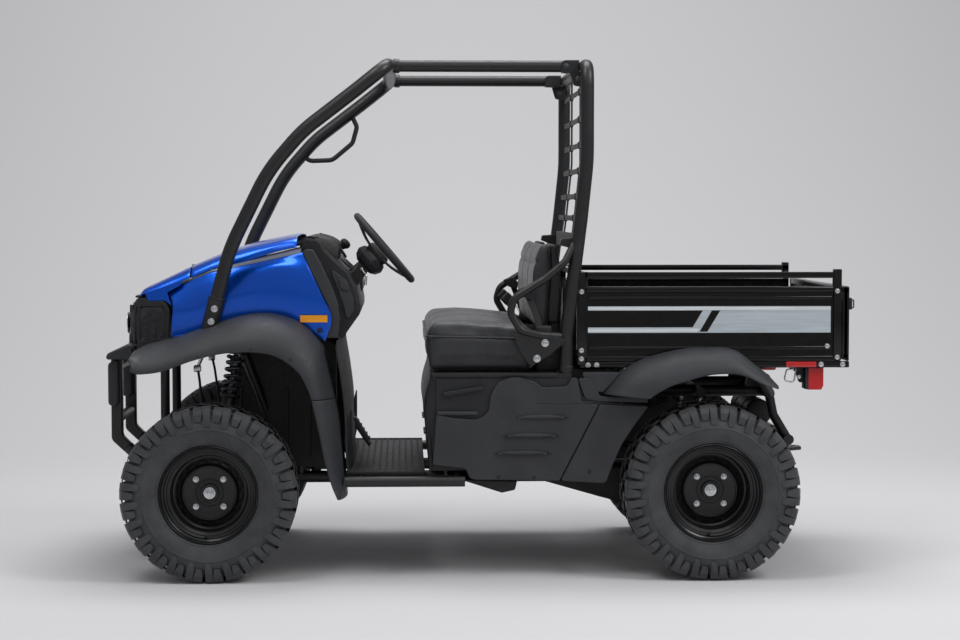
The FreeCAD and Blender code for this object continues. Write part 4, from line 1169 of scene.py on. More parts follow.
@dataclass
class Cage:
    """Front hoop, roof rails, rear hoop and what is fixed to them."""

    roof: float = 1.829
    front_tube: float = 0.025
    rear_tube: float = 0.024
    rail_tube: float = 0.021
    rail_half: float = 0.44
    rear_half: float = 0.543
    loop_half: float = 0.567
    strap_y: float = 0.2
    slat_heights: tuple[float, ...] = (1.751, 1.649, 1.554, 1.459, 1.364, 1.284)

    # The left legs' routes, with the bend radius at each corner.
    front_leg: tuple[Numbers, ...] = (
        (-0.96, -0.505, 0.884), (-0.885, -0.509, 1.1717, 0.7), (-0.745, -0.523, 1.4537, 0.6),
        (-0.622, -0.53, 1.5942, 0.5), (-0.438, -0.538, 1.7347, 0.6), (-0.319, -0.545, 1.829, 0.085))
    rear_leg: tuple[Numbers, ...] = (
        (0.314, -0.543, 0.7303), (0.314, -0.543, 0.8698, 0.5), (0.366, -0.543, 1.2775, 0.9),
        (0.388, -0.543, 1.4895, 0.9), (0.388, -0.543, 1.829, 0.075))

    @staticmethod
    def across(leg: Sequence[Numbers]) -> list[Numbers]:
        """Return a left leg's route, carried on down the right leg."""
        return [*leg, *((p[0], -p[1], *p[2:]) for p in reversed(leg))]

    def rear_x(self, height: float) -> float:
        """Return where along the vehicle the rear leg is.

        Args:
            height: The height above the floor.

        Returns:
            The place along the vehicle.
        """
        for low, high in zip(self.rear_leg, self.rear_leg[1:]):
            if height <= high[2]:
                return low[0] + (high[0] - low[0]) * (height - low[2]) / (high[2] - low[2])
        return self.rear_leg[-1][0]

    def build_front(self) -> None:
        """Build the front hoop with its foot sleeves, their bolts and the grab handle."""
        foot, knee = Vector(self.front_leg[0][:3]), Vector(self.front_leg[1][:3])
        run = (knee - foot).normalized()
        hoop = tube("front_hoop_run", self.across(self.front_leg), self.front_tube, 28)
        sleeve = post("sleeve", foot, foot + run * 0.122, 0.0295, 0.004, 32)
        lips = [post("sleeve_lip", foot + run * 0.114, foot + run * 0.124, 0.0308, 0.002, 32)]
        corner = post(
            "corner_collar", (-0.302, -0.44, self.roof), (-0.279, -0.44, self.roof), 0.0262, 0.003, 28)
        frame_part = joined("front_hoop_tube", [hoop, both("sleeves", [sleeve, *lips, corner])])
        dressed(frame_part, SATIN_BLACK, Body.ROOT, ["front_hoop"])
        handle = tube("grab_handle", [
            (-0.484, 0.535, 1.716), (-0.452, 0.53, 1.65, 0.03), (-0.47, 0.527, 1.584, 0.04),
            (-0.552, 0.525, 1.515, 0.05), (-0.64, 0.525, 1.512, 0.04), (-0.684, 0.524, 1.538)], 0.0095, 16)
        dressed(handle, GRIP_RUBBER)
        spots = [foot + run * step + Vector((0.002, -0.03, 0)) for step in (0.035, 0.082)]
        fastened("sleeve_bolts", spots, 0.0085, BRIGHT_ZINC)

    def build_roof(self) -> None:
        """Build the roof rails with their saddle plates and bolts."""
        y, z = -self.rail_half, self.roof
        rails = [
            post("roof_rail", (-0.3, y, z), (0.366, y, z), self.rail_tube, 0.0, 28),
            plate("rail_saddle", [
                (0.3, z - 0.024, 0.01), (0.366, z - 0.024), (0.366, z + 0.022), (0.3, z + 0.022, 0.02)],
                y, 0.048, 0.004),
            plate("rail_tab", [
                (0.33, z - 0.02), (0.385, z - 0.02), (0.38, z - 0.075, 0.012), (0.345, z - 0.07, 0.012)],
                y - 0.02, 0.006, 0.0015)]
        heads = [(0.318, y - 0.024, z), (0.362, y - 0.0235, z - 0.045)]
        dressed(both("roof_rail_pair", rails), SATIN_BLACK, Body.ROOT, ["roof_rails"])
        fastened("roof_bolts", heads, 0.007, DARK_STEEL)

    def build_rear(self) -> None:
        """Build the rear hoop with its hip loops, belt brackets and backrest arms."""
        hoop = tube("rear_hoop_run", self.across(self.rear_leg), self.rear_tube, 28)
        y, out = -self.rear_half, -self.loop_half
        loop = tube("hip_loop", [
            (0.345, y, 1.2), (0.308, out, 1.129, 0.05), (0.237, out, 1.069, 0.08),
            (0.127, out, 1.001, 0.05), (0.112, out, 0.95, 0.04), (0.15, out, 0.885, 0.045),
            (0.219, out, 0.869, 0.06), (0.316, y, 0.862)], 0.0135, 20)
        bracket = plate("belt_bracket", [
            (0.124, 0.872), (0.148, 0.809), (0.187, 0.755, 0.014), (0.209, 0.773), (0.255, 0.798),
            (0.312, 0.851), (0.254, 0.874)], out, 0.008, 0.0015)
        flange = plate(
            "bracket_flange", [(0.184, 0.752), (0.312, 0.842), (0.309, 0.848), (0.181, 0.759)], out + 0.02,
            0.036, 0.0015)
        arm = plate("backrest_arm", [
            (0.296, 1.212, 0.008), (0.292, 1.192), (0.35, 1.168), (0.364, 1.186), (0.364, 1.216)],
            -0.5183, 0.036, 0.003)
        foot = post("hoop_foot_collar", (0.314, y, 0.731), (0.314, y, 0.76), 0.0275, 0.003, 28)
        side = both("rear_hoop_fittings", [loop, bracket, flange, arm, foot])
        dressed(
            joined("rear_hoop_tube", [hoop, side]), SATIN_BLACK, Body.ROOT, ["rear_hoop"])
        spots = [(0.208, out - 0.004, 0.786), (0.237, out - 0.004, 0.841)]
        fastened("bracket_bolts", spots, 0.0095, BRIGHT_ZINC)

    def build_screen(self) -> None:
        """Build the slatted screen between the rear legs: webbing slats on two upright straps."""
        slats = []
        for height in self.slat_heights:
            x = self.rear_x(height)
            slats.append(block(
                "slat", (x - 0.0022, -0.5187, height - 0.01), (x + 0.0022, 0.5187, height + 0.01), 0.0015,
                1))
            for y in (-self.strap_y, self.strap_y):
                slats.append(block(
                    "slat_loop", (x - 0.0055, y - 0.017, height - 0.013),
                    (x + 0.009, y + 0.017, height + 0.013), 0.002, 1))
        x = self.rear_x(1.201)
        slats.append(block("screen_foot", (x - 0.003, -0.5, 1.173), (x + 0.003, 0.5, 1.23), 0.002, 1))
        heights = [1.173, 1.28, 1.4895, 1.804]
        line = [(self.rear_x(z), z) for z in heights]
        for y in (-self.strap_y, self.strap_y):
            outline = [(x + 0.0005, z) for x, z in line] + [(x + 0.0065, z) for x, z in reversed(line)]
            slats.append(plate("screen_upright", outline, y, 0.024, 0.0012))
        dressed(joined("rear_screen_slats", slats), BELT, Body.ROOT, ["rear_screen"])

    def build(self) -> None:
        """Build the whole cage."""
        self.build_front()
        self.build_roof()
        self.build_rear()
        self.build_screen()


# ---------------------------------------------------------------- frame and running gear


@dataclass
class Chassis:
    """Welded tube frame with its bumper, hitch and engine."""

    gauge: float = 0.2
    rail: float = 0.322
    rear_rail: float = 0.64
    rail_tube: float = 0.022
    cross_tube: float = 0.019
    post_tube: float = 0.017

    # Each cross tube's place along, height and half length.
    crosses: tuple[tuple[float, float, float], ...] = (
        (-1.15, 0.322, 0.2), (-1.049, 0.322, 0.2), (-0.847, 0.322, 0.2), (-0.6, 0.322, 0.2),
        (0.06, 0.322, 0.2), (0.3, 0.322, 0.2), (0.62, 0.64, 0.2), (0.831, 0.64, 0.31), (1.08, 0.64, 0.349),
        (0.06, 0.6997, 0.56), (0.314, 0.69, 0.543), (-0.42, 0.3507, 0.59), (-0.1, 0.3507, 0.59),
        (0.485, 0.42, 0.36), (1.15, 0.47, 0.36), (-0.87, 0.82, 0.42), (-0.65, 0.88, 0.2),
        (0.52, 0.727, 0.5447))
    # Each upright's place along, foot and top.
    posts: tuple[tuple[float, float, float], ...] = (
        (-1.15, 0.322, 0.7995), (-0.65, 0.322, 0.9), (0.06, 0.322, 0.7), (0.314, 0.322, 0.69),
        (0.485, 0.42, 0.52), (0.52, 0.6, 0.727))

    def frame_tubes(self) -> Piece:
        """Build the rails, cross tubes, posts, towers and stays."""
        g = self.gauge
        half = [
            tube("rail", [
                (-1.29, -g, 0.437), (-1.168, -g, self.rail, 0.06), (0.43, -g, self.rail, 0.09),
                (0.54, -g, self.rear_rail, 0.09), (1.09, -g, self.rear_rail)], self.rail_tube, 20),
            tube("sill_bar", [(-0.475, -0.59, 0.3507), (-0.049, -0.59, 0.3507)], self.cross_tube, 20),
            tube("hoop_foot", [(0.314, -0.543, 0.69), (0.314, -0.543, 0.73)], 0.024, 24),
            tube("rear_flare_stay", [
                (1.08, -0.349, 0.64), (1.03, -0.43, 0.71, 0.03), (1.03, -0.5447, 0.71)],
                self.cross_tube, 16),
            tube("rear_hanger", [
                (1.08, -0.33, 0.64), (1.096, -0.33, 0.56, 0.04), (1.15, -0.33, 0.47)], self.post_tube, 16),
            tube("tower", [
                (-0.74, -g, self.rail), (-0.76, -g, 0.52, 0.08), (-0.87, -0.285, 0.835)],
                self.cross_tube, 16),
            tube("cage_foot", [
                (-0.87, -0.41, 0.82), (-0.934, -0.45, 0.845, 0.03), (-0.962, -0.504, 0.868)],
                self.cross_tube, 16),
            tube("front_flare_stay", [
                (-0.87, -0.415, 0.82), (-0.76, -0.5, 0.86, 0.03), (-0.76, -0.5, 0.9315)],
                self.post_tube, 16),
            post("strut_cup", (-0.872, -0.3679, 0.7905), (-0.869, -0.3648, 0.819), 0.036, 0.003, 28),
            plate("pivot_ear", [
                (1.005, 0.64), (1.085, 0.64), (1.063, 0.718, 0.016), (1.027, 0.718, 0.016)],
                -g - 0.01, 0.012, 0.0015),
            post("pivot_pin", (1.045, -g - 0.006, 0.7), (1.045, -g - 0.042, 0.7), 0.012, 0.002, 24),
            block("rack_saddle", (-0.861, -0.13, self.rail), (-0.833, -0.1, 0.375), 0.002)]
        half += [
            tube("post", [(x, -g, low), (x, -g, high)], self.post_tube, 16) for x, low, high in self.posts]
        whole = [tube("cross", [(x, -y, z), (x, y, z)], self.cross_tube, 16) for x, z, y in self.crosses]
        whole.append(post("rack_housing", (-0.847, -0.15, 0.375), (-0.847, 0.15, 0.375), 0.024, 0.003, 24))
        return joined("chassis_tubes", [both("chassis_sides", half), *whole])

    def hitch(self) -> Piece:
        """Build the hitch plate with its hole and its drop."""
        outline = [
            (1.14, -0.06), (1.215, -0.06, 0.03), (1.26, -0.028, 0.02), (1.26, 0.028, 0.02),
            (1.215, 0.06, 0.03), (1.14, 0.06)]
        return joined("hitch", [
            plate("hitch_plate", outline, 0.401, 0.012, 0.0015, View.TOP, [circle(1.23, 0.0, 0.0095, 24)]),
            block("hitch_drop", (1.14, -0.06, 0.395), (1.152, 0.06, 0.49), 0.002),
            plate("hitch_rib", [(1.14, 0.407), (1.196, 0.407), (1.15, 0.47)], 0.0, 0.008)])

    def bumper(self) -> None:
        """Build the bumper: square posts with a knee, moulded pads and cross tubes."""
        outline = [
            (-1.3475, 0.768, 0.012), (-1.3475, 0.464, 0.03), (-1.302, 0.4215), (-1.275, 0.449),
            (-1.3065, 0.48, 0.03), (-1.3065, 0.768, 0.012)]
        metal = [plate("bumper_post", outline, -self.gauge, 0.042, 0.005)]
        bars = [
            tube("bumper_cross", [(-1.327, -self.gauge, z), (-1.327, self.gauge, z)], 0.018)
            for z in (0.54, 0.735)]
        dressed(
            joined("bumper_frame", [both("bumper_posts", metal), *bars]), SATIN_BLACK, Body.ROOT,
            ["front_bumper"])
        pad = plate("bumper_pad", [
            (-1.357, 0.594, 0.016), (-1.3575, 0.745, 0.018), (-1.334, 0.764, 0.01), (-1.316, 0.76),
            (-1.316, 0.6, 0.014), (-1.33, 0.588, 0.01)], -self.gauge, 0.072, 0.009)
        dressed(both("bumper_pads", [softened(pad, 0.002)]), DARK_PLASTIC, Body.ROOT)

    def engine(self) -> None:
        """Build the engine and its belt housing over the plain block."""
        block_body = plate("engine_case", [
            (0.026, 0.3425), (0.026, 0.588, 0.04), (0.092, 0.655, 0.05), (0.356, 0.655, 0.07),
            (0.444, 0.536, 0.06), (0.444, 0.3425)], 0.0, 0.32, 0.012)
        housing = post("belt_housing", (0.33, -0.158, 0.455), (0.33, -0.17, 0.455), 0.098, 0.005, 40)
        second = post("belt_housing_front", (0.14, -0.158, 0.47), (0.14, -0.169, 0.47), 0.078, 0.005, 40)
        fins = [
            block("fin", (0.06 + 0.024 * i, -0.125, 0.648), (0.068 + 0.024 * i, 0.125, 0.6605), 0.001, 1)
            for i in range(10)]
        sump = block("sump", (0.08, -0.12, 0.3415), (0.27, 0.12, 0.352), 0.004)
        ribs = [
            block("rib", (0.05 + 0.06 * i, -0.1655, 0.36), (0.058 + 0.06 * i, 0.1655, 0.62), 0.002, 1)
            for i in range(6)]
        dressed(joined(
            "engine_body", [block_body, housing, second, sump, *fins, *ribs]),
            CAST_GREY, Body.ROOT, ["engine"])

    def exhaust(self) -> None:
        """Build the muffler with its rolled seams, strap, pipe and outlet."""
        can = [turned("can", [
            (0.0, 0.0), (0.03, 0.001), (0.044, 0.006), (0.0485, 0.014), (0.05, 0.016), (0.05, 0.022),
            (0.0478, 0.024), (0.0478, 0.376), (0.05, 0.378), (0.05, 0.384), (0.0485, 0.386), (0.044, 0.394),
            (0.03, 0.399), (0.0, 0.4)], (1.084, -0.1, 0.546), ACROSS, 48, closed=False)]
        can.append(block("can_strap", (1.075, 0.02, 0.59), (1.093, 0.05, 0.6205), 0.002))
        can.append(tube("tailpipe", [
            (1.084, 0.27, 0.546), (1.118, 0.276, 0.53, 0.02), (1.13, 0.278, 0.5)], 0.014))
        for y in (0.028, 0.2):
            can.append(turned("clamp", [
                (0.0482, -0.006), (0.05, -0.006), (0.05, 0.006), (0.0482, 0.006)],
                (1.084, y, 0.546), ACROSS, 40))
        dressed(joined("muffler_can", can), EXHAUST, Body.ROOT, ["muffler"])

    def build(self) -> None:
        """Build the frame, bumper, engine and exhaust."""
        dressed(
            joined("chassis_frame_welded", [self.frame_tubes(), self.hitch()]), SATIN_BLACK, Body.ROOT,
            ["chassis_frame"])
        self.bumper()
        self.engine()
        self.exhaust()


@dataclass
class FrontGear:
    """Struts, knuckles, arms, linkage and drive of the front axle."""

    axle_x: float = -0.954
    hub_z: float = 0.312
    ball: Numbers = (-0.965, -0.433, 0.215)
    strut_top: Numbers = (-0.873, -0.368, 0.79)
    tie_ball_offset: float = 0.109
    rack_x: float = -0.847
    rack_z: float = 0.375
    hub_face: float = 0.5717

    @property
    def axis(self) -> Vector:
        """The direction of the steering axis, upwards."""
        return (Vector(self.strut_top) - Vector(self.ball)).normalized()

    @property
    def tie_ball(self) -> Vector:
        """Where the tie rod's ball joint is."""
        return self.kingpin(self.rack_z) + Vector((self.tie_ball_offset, 0, 0))

    def kingpin(self, height: float) -> Vector:
        """Return the point of the steering axis at a height."""
        low, high = Vector(self.ball), Vector(self.strut_top)
        return low.lerp(high, (height - low.z) / (high.z - low.z))

    def corner(self) -> tuple[list[Piece], list[Piece]]:
        """Build the left knuckle and strut: the dark castings, and the bright spring and rods."""
        axis, tie, pin, x, z = self.axis, self.tie_ball, self.kingpin, self.axle_x, self.hub_z
        arm_root = pin(self.rack_z) - axis * 0.016
        cast = [
            post("strut_tube", pin(0.23), pin(0.64), 0.0225, 0.002, 28),
            post("strut_foot", Vector(self.ball), pin(0.262), 0.026, 0.004, 24),
            post("hub_carrier", (x, -0.427, z), (x, -0.47, z), 0.046, 0.004, 32),
            post("hub_flange", (x, -0.47, z), (x, -self.hub_face, z), 0.0415, 0.003, 32),
            tube("steering_arm", [arm_root, tie - axis * 0.016], 0.0075, 12),
            post("arm_eye", tie - axis * 0.022, tie - axis * 0.0093, 0.015, 0.002, 24),
            block("caliper_lug", (-1.0, -0.452, 0.255), (-0.972, -0.424, 0.372), 0.006),
            post("spring_seat", pin(0.636), pin(0.648), 0.036, 0.003, 32)]
        bright = [
            coil("spring", pin(0.648), pin(0.786), 0.029, 0.0055, 5.5),
            post("damper_rod", pin(0.64), pin(0.7895), 0.01, 0.001, 20),
            post("bump_stop", pin(0.735), pin(0.785), 0.018, 0.004, 24, 1.15)]
        return cast, bright

    def tie_rod(self) -> Piece:
        """Build the left tie rod with its ball end and lock nut."""
        axis, ball = self.axis, self.tie_ball
        inner = Vector((ball.x, -0.252, ball.z))
        run = (inner - ball).normalized()
        parts = [
            post("tie_eye", ball - axis * 0.009, ball + axis * 0.009, 0.015, 0.003, 24),
            post("tie_bar", ball, inner, 0.0085, 0.001, 20),
            post("tie_socket", ball + run * 0.01, ball + run * 0.042, 0.0088, 0.001, 6, 0.99)]
        return joined("tie_rod_bar", parts)

    def arms(self) -> Piece:
        """Build the left lower arm with its bushes."""
        low, axis = Vector(self.ball), self.axis
        end = low - axis * 0.042
        parts = [post("arm_boss", low - axis * 0.0005, low - axis * 0.06, 0.02, 0.003, 24)]
        for offset in (-0.1, 0.095):
            x = self.axle_x + offset
            parts.append(tube("arm_leg", [(x, -0.2393, 0.318), end], 0.015, 16))
            parts.append(post(
                "arm_bush", (x - 0.03, -0.2393, 0.318), (x + 0.03, -0.2393, 0.318), 0.017, 0.002, 24))
        parts.append(tube("arm_brace", [(-1.026, -0.3, 0.285), (-0.888, -0.3, 0.285)], 0.01, 12))
        return joined("front_arm", parts)

    def drive(self) -> None:
        """Build the gear case with its shafts and ribbed boots."""
        case = block("gear_case", (-1.0297, -0.093, 0.207), (-0.896, 0.093, 0.338), 0.022, 4)
        nose = post("case_cover", (-1.0297, 0, 0.272), (-1.024, 0, 0.272), 0.05, 0.003, 32)
        ribs = [
            block("case_rib", (-1.0 + 0.034 * i, -0.0948, 0.225), (-0.994 + 0.034 * i, 0.0948, 0.33), 0.002)
            for i in range(3)]
        x, z = self.axle_x, self.hub_z
        shaft = tube("shaft", [(x, -0.088, 0.254), (x, -0.385, z)], 0.0125, 16)
        start, end = Vector((x, -0.385, z)), Vector((x, -0.315, z - 0.012))
        rings = [(0.0, 0.0), (0.0345, 0.002)]
        for number in range(5):
            rings += [
                (0.0345 - 0.003 * number, 0.01 + 0.012 * number),
                (0.0265 - 0.002 * number, 0.016 + 0.012 * number)]
        boot = turned("boot", [*rings, (0.0, 0.07)], start, end - start, 28, closed=False)
        dressed(
            joined("front_gear_case", [case, nose, *ribs]), CAST_GREY, Body.ROOT,
            ["front_drive"])
        dressed(both("front_shafts", [shaft]), DARK_STEEL, Body.ROOT)
        dressed(both("front_boots", [boot]), GRIP_RUBBER)

    def build(self) -> None:
        """Build the front axle on both sides."""
        cast, bright = self.corner()
        for parts, label, finish in (
                (cast, "knuckle_casting", SATIN_BLACK), (bright, "strut_spring", DARK_STEEL)):
            left = joined(f"{label}_left", parts)
            right = mirrored(left, f"{label}_right")
            for piece, side, body in (
                    (left, "left", Body.KNUCKLE_LEFT), (right, "right", Body.KNUCKLE_RIGHT)):
                stands_for = [f"knuckle_{side}"] if finish is SATIN_BLACK else []
                dressed(piece, finish, body, stands_for)
        tie = self.tie_rod()
        dressed(
            mirrored(tie, "tie_rod_bar_right"), DARK_STEEL, Body.TIE_RIGHT,
            ["tie_rod_right"])
        dressed(tie, DARK_STEEL, Body.TIE_LEFT, ["tie_rod_left"])
        x, z = self.rack_x, self.rack_z
        rack = [post("rack_bar", (x, -0.249, z), (x, 0.249, z), 0.0115, 0.001, 24)]
        rack += [post("rack_collar", (x, y, z), (x, y * 0.88, z), 0.0168, 0.003, 24) for y in (-0.25, 0.25)]
        dressed(joined("rack_rod", rack), DARK_STEEL, Body.RACK, ["steering_rack"])
        dressed(
            both("front_arm_pair", [self.arms()]), SATIN_BLACK, Body.ROOT, ["front_arms"])
        self.drive()


@dataclass
class RearGear:
    """Live rear axle on leaf springs, with its dampers and drums."""

    axle_x: float = 0.831
    hub_z: float = 0.312
    leaf_half: float = 0.33
    hub_face: float = 0.5557

    def axle(self) -> None:
        """Build the axle beam, its case, drums and spring pads."""
        hub_out, x, z = self.hub_face, self.axle_x, self.hub_z
        beam = turned("axle_beam", [
            (0.0, -hub_out), (0.032, -hub_out), (0.032, -0.16), (0.046, -0.1), (0.046, 0.1), (0.032, 0.16),
            (0.032, hub_out), (0.0, hub_out)], (x, 0, z), ACROSS, 40, closed=False)
        case = plate("axle_case", [
            (x - 0.108, z - 0.04, 0.03), (x - 0.108, z + 0.06, 0.03), (x - 0.05, z + 0.098, 0.03),
            (x + 0.05, z + 0.098, 0.03), (x + 0.093, z + 0.04, 0.03), (x + 0.093, z - 0.05, 0.03),
            (x + 0.04, z - 0.093, 0.03), (x - 0.05, z - 0.093, 0.03)], 0.0, 0.166, 0.016)
        flange = post("case_flange", (x, -0.012, z), (x, 0.012, z), 0.101, 0.003, 40)
        drum = turned("brake_drum", [
            (0.0, 0.0), (0.062, 0.0), (0.072, 0.006), (0.086, 0.008), (0.09, 0.014), (0.09, 0.02),
            (0.086, 0.022), (0.086, 0.034), (0.09, 0.036), (0.09, 0.044), (0.08, 0.048), (0.0, 0.048)],
            (x, -hub_out + 0.012, z), ACROSS, 48, closed=False)
        pad = block("spring_pad", (x - 0.045, -0.355, z), (x + 0.045, -0.305, z + 0.04), 0.003)
        dressed(joined(
            "rear_axle_beam", [beam, case, flange, both("axle_sides", [drum, pad])]),
            CAST_GREY, Body.ROOT, ["rear_axle"])

    def springs(self) -> None:
        """Build the leaf packs with their clamps and the dampers with their coils."""
        x, top = self.axle_x, self.hub_z + 0.0403
        leaves = []
        for number, (front, rear) in enumerate(((-0.346, 0.319), (-0.25, 0.225), (-0.15, 0.14))):
            high = top + 0.0235 - 0.0078 * number
            line = [
                (x + front, 0.4005 if front < -0.3 else 0.388 - 0.03 * number * 0.4),
                (x - 0.12, high + 0.0085, 0.25), (x - 0.045, high), (x + 0.045, high),
                (x + 0.15, high + 0.022, 0.25), (x + rear, 0.4505 if rear > 0.3 else 0.405)]
            outline = line + [(p[0], p[1] - 0.0066, *p[2:]) for p in reversed(line)]
            leaves.append(plate("leaf", outline, -self.leaf_half, 0.048, 0.001))
        leaves.append(block(
            "leaf_clamp", (x - 0.03, -0.362, top + 0.02), (x + 0.03, -0.298, top + 0.031), 0.002))
        body = post("damper", (x, -0.275, self.hub_z + 0.0325), (x, -0.275, 0.5), 0.019, 0.002, 24)
        rod = post("damper_rod", (x, -0.275, 0.49), (x, -0.275, 0.6205), 0.0105, 0.001, 20)
        spring = coil("rear_coil", Vector((x, -0.275, 0.4)), Vector((x, -0.275, 0.616)), 0.0245, 0.0042, 7)
        dressed(both("leaf_packs", leaves), SATIN_BLACK, Body.ROOT, ["rear_springs"])
        dressed(both("rear_dampers", [body, rod]), BRIGHT_ZINC, Body.ROOT)
        dressed(both("rear_coils", [spring]), SATIN_BLACK, Body.ROOT)

    def build(self) -> None:
        """Build the rear axle."""
        self.axle()
        self.springs()


# ---------------------------------------------------------------- front body


@dataclass
class FrontBody:
    """Blue hood and side panels, the cowl with its lamps, and the front flares."""

    lid_half: float = 0.424
    flare_inner: float = 0.48
    flare_outer: float = 0.655
    wall: float = 0.004

    # Place along, height at the middle and height at the edge of the two crowned panels.
    nose_top: tuple[Numbers, ...] = (
        (-1.2165, 1.006, 1.004), (-1.204, 1.031, 1.012), (-1.167, 1.05, 1.024), (-1.12, 1.073, 1.039),
        (-1.075, 1.095, 1.053), (-1.034, 1.114, 1.0685))
    lid_top: tuple[Numbers, ...] = (
        (-1.029, 1.1165, 1.07), (-0.945, 1.151, 1.104), (-0.871, 1.177, 1.121), (-0.797, 1.197, 1.141),
        (-0.723, 1.212, 1.164), (-0.675, 1.222, 1.175), (-0.65, 1.2235, 1.18))
    # Place along, upper and lower edge of the stripe beside the lid.
    crease: tuple[Numbers, ...] = (
        (-1.146, 1.022, 1.016), (-1.067, 1.053, 1.045), (-0.996, 1.081, 1.074), (-0.942, 1.103, 1.095),
        (-0.888, 1.116, 1.104), (-0.781, 1.142, 1.127), (-0.633, 1.178, 1.16))
    # Upright lines of the side panel, (along, up), from its top to its foot.
    side: tuple[tuple[Numbers, ...], ...] = (
        ((-1.119, 1.015), (-1.101, 0.996), (-1.094, 0.964), (-1.098, 0.915), (-1.103, 0.856)),
        ((-1.04, 1.056), (-1.033, 1.02), (-1.031, 0.968), (-1.031, 0.92), (-1.031, 0.868)),
        ((-0.96, 1.088), (-0.956, 1.048), (-0.954, 0.998), (-0.954, 0.945), (-0.954, 0.888)),
        ((-0.87, 1.108), (-0.868, 1.07), (-0.866, 1.018), (-0.866, 0.97), (-0.866, 0.918)),
        ((-0.78, 1.127), (-0.776, 1.094), (-0.772, 1.038), (-0.77, 0.985), (-0.77, 0.93)),
        ((-0.7, 1.145), (-0.69, 1.113), (-0.67, 1.042), (-0.658, 0.972), (-0.66, 0.918)),
        ((-0.627, 1.162), (-0.597, 1.097), (-0.552, 1.0), (-0.522, 0.929), (-0.546, 0.845)))
    # Crest and lip of the flare and of its flap, (along, up), from front to rear.
    flare: tuple[tuple[Numbers, Numbers], ...] = (
        ((-1.224, 0.812), (-1.227, 0.785)), ((-1.19, 0.832), (-1.212, 0.744)),
        ((-1.154, 0.842), (-1.165, 0.741)), ((-1.091, 0.856), (-1.104, 0.751)),
        ((-1.031, 0.877), (-1.052, 0.77)), ((-0.979, 0.896), (-0.999, 0.788)),
        ((-0.902, 0.922), (-0.929, 0.806)), ((-0.839, 0.939), (-0.86, 0.815)),
        ((-0.787, 0.946), (-0.8, 0.816)), ((-0.734, 0.946), (-0.745, 0.81)),
        ((-0.682, 0.936), (-0.7, 0.795)), ((-0.629, 0.914), (-0.66, 0.768)),
        ((-0.588, 0.879), (-0.631, 0.74)), ((-0.553, 0.833), (-0.612, 0.706)),
        ((-0.534, 0.77), (-0.598, 0.675)), ((-0.504, 0.648), (-0.589, 0.648)))
    flap: tuple[tuple[Numbers, Numbers], ...] = (
        ((-0.504, 0.6445), (-0.589, 0.6445)), ((-0.49, 0.576), (-0.573, 0.576)),
        ((-0.483, 0.5), (-0.557, 0.5)), ((-0.477, 0.434), (-0.544, 0.432)), ((-0.47, 0.34), (-0.52, 0.345)),
        ((-0.467, 0.294), (-0.499, 0.294)))

    @staticmethod
    def plan(x: float) -> float:
        """Return how far out the side panel is.

        Args:
            x: The place along the vehicle.

        Returns:
            The distance from the centreline.
        """
        stops = ((-1.13, 0.437), (-0.96, 0.464), (-0.87, 0.47), (-0.62, 0.515), (-0.515, 0.519))
        for (x1, y1), (x2, y2) in zip(stops, stops[1:]):
            if x <= x2:
                return y1 + (y2 - y1) * (x - x1) / (x2 - x1)
        return stops[-1][1]

    def crowned(self, name: str, stations: Sequence[Numbers], rows: int) -> Piece:
        """Build a crowned panel over the hood.

        Args:
            name: The panel's name.
            stations: Rows of (place along, height at the middle, height at the edge).
            rows: How many rows of points it gets along the vehicle.

        Returns:
            The panel.
        """
        shape = ((1.0, 0.0), (0.988, 0.3), (0.955, 0.62), (0.86, 0.86), (0.47, 0.985), (0.0, 1.04))
        across = [(-share, rise) for share, rise in shape] + [
            (share, rise) for share, rise in reversed(shape[:-1])]
        sections = [
            [(x, share * self.lid_half, low + (top - low) * rise) for share, rise in across]
            for x, top, low in stations]
        return shell(name, sections, rows, 49, self.wall, UP, 0.0012)

    def hood(self) -> None:
        """Build the nose, the hinged lid and the lid's latch and hinges."""
        nose = self.crowned("hood_nose", self.nose_top, 18)
        dressed(nose, BODY_BLUE, Body.ROOT)
        lid = self.crowned("hood_lid_skin", self.lid_top, 30)
        dressed(lid, BODY_BLUE, Body.HOOD, ["hood_lid"])
        parts = []
        for y in (-0.17, 0.17):
            leaf = oblong(-1.05, -1.006, y - 0.022, y + 0.022, 0.006)
            parts.append(plate("hinge_leaf", leaf, 1.11, 0.004, 0.001, View.TOP))
        parts.append(block("lid_frame", (-0.676, -0.4, 1.18), (-0.654, 0.4, 1.196), 0.004))
        dressed(joined("lid_hardware", parts), BLACK_PLASTIC, Body.HOOD)
        latch = [
            block("latch_base", (-0.712, -0.3, 1.199), (-0.668, -0.262, 1.2085), 0.004),
            tube("latch_wire", [
                (-0.7, -0.306, 1.204), (-0.676, -0.306, 1.2115, 0.006), (-0.658, -0.281, 1.2125, 0.006),
                (-0.676, -0.256, 1.2125, 0.006), (-0.7, -0.256, 1.206)], 0.0028, 10)]
        dressed(both("hood_latches", latch), BLACK_PLASTIC, Body.HOOD)
        cheek = plate("nose_cheek", [
            (-1.213, 1.004), (-1.195, 1.015, 0.004), (-1.182, 0.987, 0.004), (-1.124, 0.989, 0.008),
            (-1.099, 0.97), (-1.115, 1.018), (-1.066, 1.044), (-1.064, 1.06), (-1.12, 1.041),
            (-1.167, 1.026), (-1.2, 1.0145)], -0.429, 0.007, 0.0015)
        dressed(both("nose_cheeks", [cheek]), BODY_BLUE, Body.ROOT)
        ledge = block("seam_ledge", (-1.05, -0.36, 1.089), (-1.037, 0.36, 1.096), 0.002)
        web = plate(
            "seam_web", [(-1.05, 1.03), (-1.012, 1.045), (-1.014, 1.064), (-1.05, 1.052)], -0.409, 0.006,
            0.001)
        dressed(joined("seam_ledges", [ledge, both("seam_webs", [web])]), BLACK_PLASTIC)

